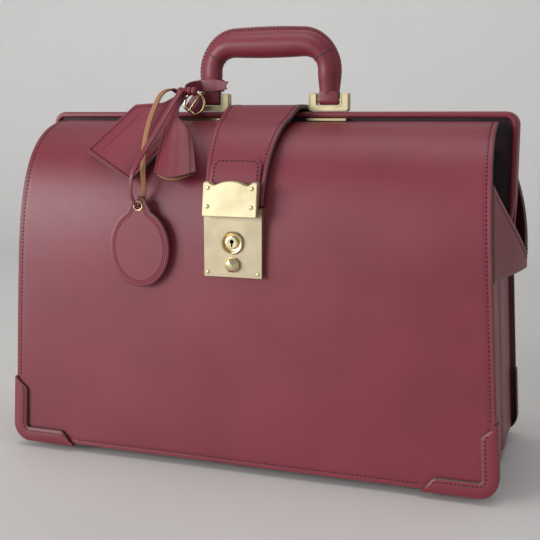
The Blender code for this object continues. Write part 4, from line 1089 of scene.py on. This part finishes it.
drops = [PATCH_CORNER * (k / 14) ** 2 for k in range(15)]
drops += [PATCH_CORNER + 26.5 * k / 14 for k in range(1, 15)]
grid = []
for d in drops:
    half = rounded_half(PATCH_HALF, PATCH_CORNER, d)
    grid.append([patch_spot(d, half * c / 10, 0.15 + PATCH_THICK) for c in range(-10, 11)])
patch, _ = cut_leather("strap_patch", grid, PATCH_THICK, (0, -1, 0.2))
settle(patch, "strap", "strap_patch")
arch = []
for d in reversed(drops[:-2]):
    arch.append((d + PATCH_SEAM, rounded_half(PATCH_HALF - PATCH_SEAM, PATCH_CORNER - PATCH_SEAM, d)))
arch = [(d, half) for d, half in arch if d < PATCH_TALL]
rising = [patch_spot(d, -half, PATCH_THICK + 0.2) for d, half in arch]
falling = [patch_spot(d, half, PATCH_THICK + 0.2) for d, half in reversed(arch)]
settle(sewn("strap_patch_seam", rising + falling, strap_normal), "strap")
print(f"patch: {PATCH_TALL:.0f} mm tall")

# %% [markdown]
# ## Hasp and lock
# The hasp is a pressed brass plate with a waved top edge, held by four small rivets, and its lower edge
# laps over the lock. The lock has a flat plate with a side wall, a key ring with a raised rim, a
# plug with a keyhole and a faceted button. Turned pieces come from lathe profiles; the keyhole is cut.


# %% Hasp
HASP_HALF, HASP_LOW, HASP_FRONT = 23.2, 210.5, -103.5
WAVE = [(0.0, 236.9), (0.03, 238.0), (0.07, 238.3), (0.11, 237.6), (0.15, 236.1)]
WAVE += [(0.19, 235.5), (0.24, 236.0), (0.30, 237.2), (0.38, 238.3), (0.5, 238.8)]
wave = [((2 * u - 1) * HASP_HALF, z) for u, z in WAVE]
wave_line = smooth_line([(x, 0, z) for x, z in wave + [(-x, z) for x, z in reversed(wave[:-1])]], 61)
hasp_box = [(HASP_HALF, 230.0), (HASP_HALF, HASP_LOW), (-HASP_HALF, HASP_LOW), (-HASP_HALF, 230.0)]
lower_corners = rounded(hasp_box, [0.01, 1.6, 1.6, 0.01], 4)[5:-5]
hasp_outline = [(p.x, p.z) for p in wave_line] + lower_corners


def hasp_face(z):
    return HASP_FRONT + (z - HASP_LOW) * math.tan(math.radians(7.0))


def hasp_back(z):
    near = min(strap_line, key=lambda p: abs(p.z - max(z, 220.0)) + (100 if p.y > -60 else 0))
    return min(near.y - 3.2, -92.6) if z > 219.0 else -99.0


def hasp_spot(u, v, share):
    return (u, hasp_back(v) + (hasp_face(v) - hasp_back(v)) * share, v)


HASP_RINGS = [(0.4, 0.0), (0.0, 0.1), (0.0, 0.86), (0.2, 0.95), (0.7, 1.0)]
hasp = plate("hasp_plate", hasp_outline, hasp_spot, HASP_RINGS, [plate_brass], crease=12.0)
fitted(hasp, "strap", "hasp_plate")
for number, (x, z) in enumerate(((-18.7, 233.2), (18.7, 233.2), (-18.7, 218.5), (18.7, 218.5)), 1):
    f = hasp_face(z)
    dome = [(f + 0.4, 1.9), (f - 0.1, 1.9), (f - 0.5, 1.5), (f - 0.75, 0.8), (f - 0.8, 0.15)]
    head = turned(f"hasp_rivet_{number}", "Y", (x, z), dome, bright_brass, sides=24)
    fitted(head, "strap", f"hasp_rivet_{number}")
print("hasp plate and four rivets made")

# %% Lock
KEY_Z, BUTTON_Z = 189.2, 171.3
# The lock plate and case take the satin brass, whose darker colour is painted shade.
dress("lock_plate", satin_brass_painted_shade, 0.5)
dress("lock_case", satin_brass_painted_shade, 0.5)
RING_PROFILE = [(-94.9, 9.0), (-95.6, 9.3), (-96.7, 9.3), (-97.4, 8.9), (-97.7, 8.3)]
RING_PROFILE += [(-97.5, 7.7), (-96.4, 7.1), (-95.4, 6.8), (-95.2, 5.6)]
ring = turned("lock_ring", "Y", (0.0, KEY_Z), RING_PROFILE, bright_brass, sides=48, closed=True)
fitted(ring, "front_shoulder", "lock_ring")
PLUG_PROFILE = [(-88.0, 5.3), (-96.2, 5.5), (-96.9, 5.3), (-97.1, 4.7), (-97.0, 3.4), (-97.05, 0.3)]
plug = turned("key_plug", "Y", (0.0, KEY_Z), PLUG_PROFILE, bright_brass, sides=48)
HOLE_R = 1.75
hole_turns = [math.radians(-67.5 + 315.0 * i / 20) for i in range(21)]
keyhole_outline = [(HOLE_R * math.cos(a), KEY_Z + 1.0 + HOLE_R * math.sin(a)) for a in hole_turns]
keyhole_outline += [(-0.7, KEY_Z - 3.4), (0.7, KEY_Z - 3.4)]
through = [(0.0, -90.0), (0.0, -99.0)]
keyhole = plate("keyhole", keyhole_outline, lambda u, v, h: (u, h, v), through, [steel_grey])
fitted(pierced(plug, keyhole, keyhole_dark), "key_plug", "key_plug")
button_loops = []
for y, r in ((-90.0, 5.6), (-95.6, 6.0), (-97.4, 6.4), (-99.6, 4.4), (-100.9, 1.5)):
    button_loops.append([(u, y, BUTTON_Z + v) for u, v in circle(r, 8, math.pi / 8)])
button = lofted("release_button", button_loops, [bright_brass], crease=8.0)
fitted(button, "release_button", "release_button")
for hand_name, hand in HANDS:
    dome = [(-94.7, 1.5), (-95.2, 1.5), (-95.6, 1.1), (-95.75, 0.3)]
    screw = turned(f"lock_screw_{hand_name}", "Y", (hand * 21.6, 164.4), dome, bright_brass, sides=20)
    fitted(screw, "front_shoulder")
print("lock plate, ring, plug, button and screws made")

# %% [markdown]
# ## Belt, knot and buckle
# A leather belt sits round the handle's left leg, a strap end with a wire buckle hangs below it, and a
# knot of lace in front of it carries the tags.

# %% Belt and knot
belt_outline = rounded([(-11.0, -6.6), (11.0, -6.6), (11.0, 6.6), (-11.0, 6.6)], 4.0)
BELT_SECTION = [(0.0, 311.6), (-0.6, 311.5), (-1.5, 312.0), (-1.6, 316.7)]
BELT_SECTION += [(-1.5, 321.4), (-0.6, 321.9), (0.0, 321.8), (0.1, 316.7)]
belt_loops = []
for n, z in BELT_SECTION:
    belt_loops.append([(x - LEG_X, y + HANDLE_Y, z) for x, y in inset(belt_outline, -n)])
belt = lofted("tag_belt", belt_loops, [burgundy], crease=60.0, closed=True)
settle(belt, "handle", "tag_belt")
TONGUE = [(-62.0, -12.3, 316.6), (-65.0, -17.0, 316.2), (-67.5, -24.0, 314.5), (-68.0, -29.6, 312.4)]
grid = []
for spot in smooth_line(TONGUE, 14):
    grid.append([(spot.x, spot.y, spot.z + w) for w in (-4.2, -2.2, 0.0, 2.2, 4.2)])
tongue, _ = cut_leather("belt_tongue", grid, 1.6, (1, -0.3, 0))
settle(tongue, "handle")
end_outline = [(-47.0, 311.8), (-36.2, 313.2), (-37.8, 316.2), (-35.0, 319.8), (-47.0, 321.6)]
END_RINGS = [(0.2, 0.0), (0.0, 0.3), (0.0, 1.2), (0.3, 1.5)]
lift = lambda u, v, h: (u, -12.3 - h, v)
settle(plate("belt_end", end_outline, lift, END_RINGS, [burgundy, cut_edge], [1, 1, 0]), "handle")
knot_profile = []
for i in range(49):
    a = i / 48
    bump = abs(math.sin(math.pi * 4 * a)) ** 0.5
    knot_profile.append((-74.0 + 17.0 * a, (2.5 + 1.35 * bump) * (1.0 if 0 < i < 48 else 0.6)))
knot = turned("tag_knot", "X", (-33.6, 311.0), knot_profile, burgundy, sides=24, crease=60.0)
settle(knot, "tag_hanger", "tag_knot")
print("belt, tongue and knot made")

# %% Buckle
BUCKLE_TURN, BUCKLE_Y, BOW = Matrix.Rotation(math.radians(-38.0), 2), -18.1, 9.3


def on_buckle(u, v, y):
    spun = BUCKLE_TURN @ Vector((u, v))
    return (spun.x - 66.0, y, spun.y + 300.3)


strap_end = rounded([(-6.5, -9.5), (6.5, -9.5), (6.5, 3.0), (0.0, 12.5), (-6.5, 8.5)], 1.2, 3)
HANGING_RINGS = [(0.3, 0.0), (0.0, 0.4), (0.0, 2.0), (0.3, 2.45), (0.8, 2.6)]
lift = lambda u, v, h: on_buckle(u, v, -14.0 - h)
hanging = plate("tag_strap", strap_end, lift, HANGING_RINGS, [burgundy, cut_edge], [1, 1, 1, 0])
settle(hanging, "handle", "tag_strap")
bow_turns = [math.radians(-28.0 + 236.0 * i / 26) for i in range(27)]
BAR_HALF = [(-7.4, -5.6), (-6.2, -7.0), (-4.8, -7.4)]
bar = BAR_HALF + [(0.0, -7.4)] + [(-u, v) for u, v in reversed(BAR_HALF)]
loop = [on_buckle(BOW * math.cos(a), 0.8 + BOW * math.sin(a), BUCKLE_Y) for a in bow_turns]
loop += [on_buckle(u, v, BUCKLE_Y) for u, v in bar]
buckle = wire("tag_buckle", loop, 1.15, bright_brass, (0, 1, 0), closed=True)
fitted(buckle, "handle", "tag_buckle")
roller_ends = [on_buckle(u, -7.4, BUCKLE_Y) for u in (-5.2, 5.2)]
roller = wire("buckle_roller", roller_ends, 1.8, bright_brass, (0, 1, 0))
fitted(roller, "handle")
prong_line = [on_buckle(0, v, y) for v, y in ((-7.0, -19.6), (0, -19.9), (10.4, -19.5))]
prong = wire("buckle_prong", prong_line, 0.85, bright_brass, (1, 0, 0))
fitted(prong, "handle")
print("buckle made")

# %% [markdown]
# ## Name tag and key bell
# Both hang from the knot and lie on the slope of the shoulder. The name tag is two layers sewn round the
# border, with clipped corners. The bell is two layers sewn along the sides and open at its foot, where
# the tan flesh side shows. Their patterns are drawn flat and then laid on the slope.

# %% Name tag
SLOPE, TOUCH_Y, TOUCH_Z, TAG_CLEAR, TONGUE_TOP = math.radians(50.29), -67.175, 262.585, 3.6, -53.8


def on_slope(x, down, out):
    """A place on the slope: x from the handle's left leg, distance down it, height above it."""
    y = TOUCH_Y - math.cos(SLOPE) * down - math.sin(SLOPE) * (TAG_CLEAR + out)
    z = TOUCH_Z - math.sin(SLOPE) * down + math.cos(SLOPE) * (TAG_CLEAR + out)
    return Vector((x - LEG_X, y, z))


slope_out = (0.0, -math.sin(SLOPE), math.cos(SLOPE))
TAG_SPIN = Matrix.Rotation(math.radians(-31.5), 2)


def on_name_tag(u, v):
    spun = TAG_SPIN @ Vector((u, v))
    return (spun.x - 62.1, 23.4 - spun.y)


tag_corners = [on_name_tag(u, v) for u, v in ((30, 0), (30, 60), (8, 76))]
tag_corners += [(-10.0, TONGUE_TOP), (-19.0, TONGUE_TOP)]
tag_corners += [on_name_tag(u, v) for u, v in ((-8, 76), (-30, 60), (-30, 0))]
tag_outline = rounded(tag_corners, [2.5, 2.5, 2.5, 1.0, 1.0, 2.5, 2.5, 2.5], 4)
TAG_RINGS = [(0.35, 0.0), (0.0, 0.4), (0.0, 1.35), (0.15, 1.5), (0.0, 1.65), (0.0, 2.5)]
TAG_RINGS += [(0.35, 2.85), (0.9, 3.0), (2.6, 3.0), (3.1, 2.8), (3.6, 3.0)]
name_tag = plate("name_tag", tag_outline, on_slope, TAG_RINGS, [burgundy, cut_edge], [1] * 6 + [0])
settle(name_tag, "name_tag", "name_tag")
border = [(-8.0, 71.5), (-26.8, 58.0), (-26.8, 3.2), (26.8, 3.2), (26.8, 58.0), (8.0, 71.5)]
border_path = [on_slope(*on_name_tag(u, v), 3.0) for u, v in border]
settle(sewn("name_tag_seam", border_path, lambda spot: slope_out), "name_tag")
for where, across, ends in (("upper", -17.0, (9.0, 54.0)), ("lower", 20.5, (8.0, 52.0))):
    crease_path = [on_slope(*on_name_tag(across, v), 2.95) for v in ends]
    settle(wire(f"name_tag_crease_{where}", crease_path, 0.32, cut_edge, slope_out, sides=8), "name_tag")
print("name tag made")

# %% Key bell
BELL_LEFT = [(-18.0, TONGUE_TOP), (-18.4, -31.0), (-19.0, -23.5), (-19.5, -16.0), (-18.2, 5.0), (-15.5, 30.0)]
BELL_RIGHT = [(-13.0, TONGUE_TOP), (-11.0, -31.0), (-6.0, -24.5), (4.8, -15.0), (13.4, 5.0), (21.5, 29.0)]
left_edge = smooth_line([(x, d, 0) for x, d in BELL_LEFT], 45)
right_edge = smooth_line([(x, d, 0) for x, d in BELL_RIGHT], 45)


def on_bell(row, c, lift):
    """c runs from -1 at the left edge to 1 at the right, lift from the back (0) to the swollen front (1)."""
    a, b = left_edge[row], right_edge[row]
    spot = a.lerp(b, (c + 1) / 2)
    low = max(0.0, (row - 26) / 18)
    full = min(1.0, (b - a).length / 30)
    swell = 1.5 + 4.3 * full * (1 - abs(c) ** 2.6) - 0.5 * full * math.exp(-(((c - 0.08) / 0.1) ** 2))
    return on_slope(spot.x, spot.y + 9.0 * (1 - c * c) * low * low, 3.6 + lift * swell)


def bell_loop(row, reach, front, back):
    """One ring of the bell: along its front from left to right, and back along its rear layer."""
    across = [max(-reach, min(reach, -1 + k / 8)) for k in range(17)]
    return [on_bell(row, c, front) for c in across] + [on_bell(row, c, back) for c in reversed(across)]


bell_loops = [bell_loop(row, 1.0, 1.0, 0.0) for row in range(45)]
bell_loops += [bell_loop(44, 0.86, 0.82, 0.22), bell_loop(38, 0.8, 0.75, 0.3)]
bell_marks = ([0] * 16 + [1]) * 2
bell = lofted("key_bell", bell_loops, [burgundy, cut_edge, flesh_side], bell_marks, crease=55.0)
for polygon in bell.data.polygons:
    if polygon.index >= 34 * 44:
        polygon.material_index = 1 if polygon.index < 34 * 45 else 2
settle(bell, "key_bell", "key_bell")
for where, c in (("left", -0.82), ("right", 0.82)):
    path = [on_bell(row, c, 1.0) for row in range(20, 45)]
    settle(sewn(f"key_bell_seam_{where}", path, lambda spot: slope_out), "key_bell")
print("key bell made")

# %% [markdown]
# ## Floor and light
# A plain pale floor curves up behind the bag. A broad soft lamp at the front left gives the leather its
# long satin sheen. Weaker ones at the right, behind and above keep the other sides from going black, and
# the world fills in.

# %% Floor
sheet_rows = [(-2.6, 0.0), (1.0, 0.0)]
for i in range(1, 17):
    a = math.pi / 2 * i / 16
    sheet_rows.append((1.0 + 0.9 * math.sin(a), 0.9 - 0.9 * math.cos(a)))
sheet_rows.append((1.9, 3.2))
floor_mesh = bpy.data.meshes.new("floor")
floor_points = [(x, y, z) for y, z in sheet_rows for x in (-3.2, 3.2)]
floor_faces = [(2 * i, 2 * i + 1, 2 * i + 3, 2 * i + 2) for i in range(len(sheet_rows) - 1)]
floor_mesh.from_pydata(floor_points, [], floor_faces)
floor_mesh.shade_smooth()
floor = bpy.data.objects.new("floor", floor_mesh)
bpy.context.scene.collection.objects.link(floor)
paper = Finish("pale_floor")
paper_tone = paper.noise(6.0, 3.0)
paper.feed("Base Color", paper.mixed(paper_tone, (0.66, 0.645, 0.62), (0.70, 0.685, 0.66)))
paper.feed("Roughness", 0.62 + 0.1 * paper_tone)
floor_mesh.materials.append(paper.material)
print("floor laid")


# %% Lamps
def soft_lamp(name, place, aim, width, height, watts, colour):
    lamp = bpy.data.lights.new(name, "AREA")
    lamp.shape, lamp.size, lamp.size_y, lamp.energy, lamp.color = "RECTANGLE", width, height, watts, colour
    stand = bpy.data.objects.new(name, lamp)
    stand.location = place
    stand.rotation_euler = (Vector(aim) - Vector(place)).to_track_quat("-Z", "Y").to_euler()
    bpy.context.scene.collection.objects.link(stand)


soft_lamp("key_lamp", (-2.36, -2.55, 0.82), (-0.05, 0.0, 0.15), 2.2, 1.5, 100.0, (0.97, 0.985, 1.0))
soft_lamp("side_lamp", (1.9, -0.7, 1.0), (0.1, 0.0, 0.15), 1.0, 1.2, 2.0, (1.0, 0.97, 0.93))
soft_lamp("back_lamp", (0.9, 2.4, 1.2), (0.0, 0.0, 0.15), 1.7, 1.3, 22.0, (1.0, 0.98, 0.96))
soft_lamp("top_lamp", (-0.1, -0.2, 2.1), (0.0, 0.0, 0.2), 1.6, 1.2, 12.0, (1.0, 0.99, 0.97))
world = bpy.data.worlds.new("studio")
world.use_nodes = True
world.node_tree.nodes["Background"].inputs["Color"].default_value = (0.92, 0.94, 1.0, 1.0)
world.node_tree.nodes["Background"].inputs["Strength"].default_value = 0.36
bpy.context.scene.world = world
print("four lamps and a soft world")

# %% [markdown]
# ## Finish

# %% Finish
print("the bag is dressed")
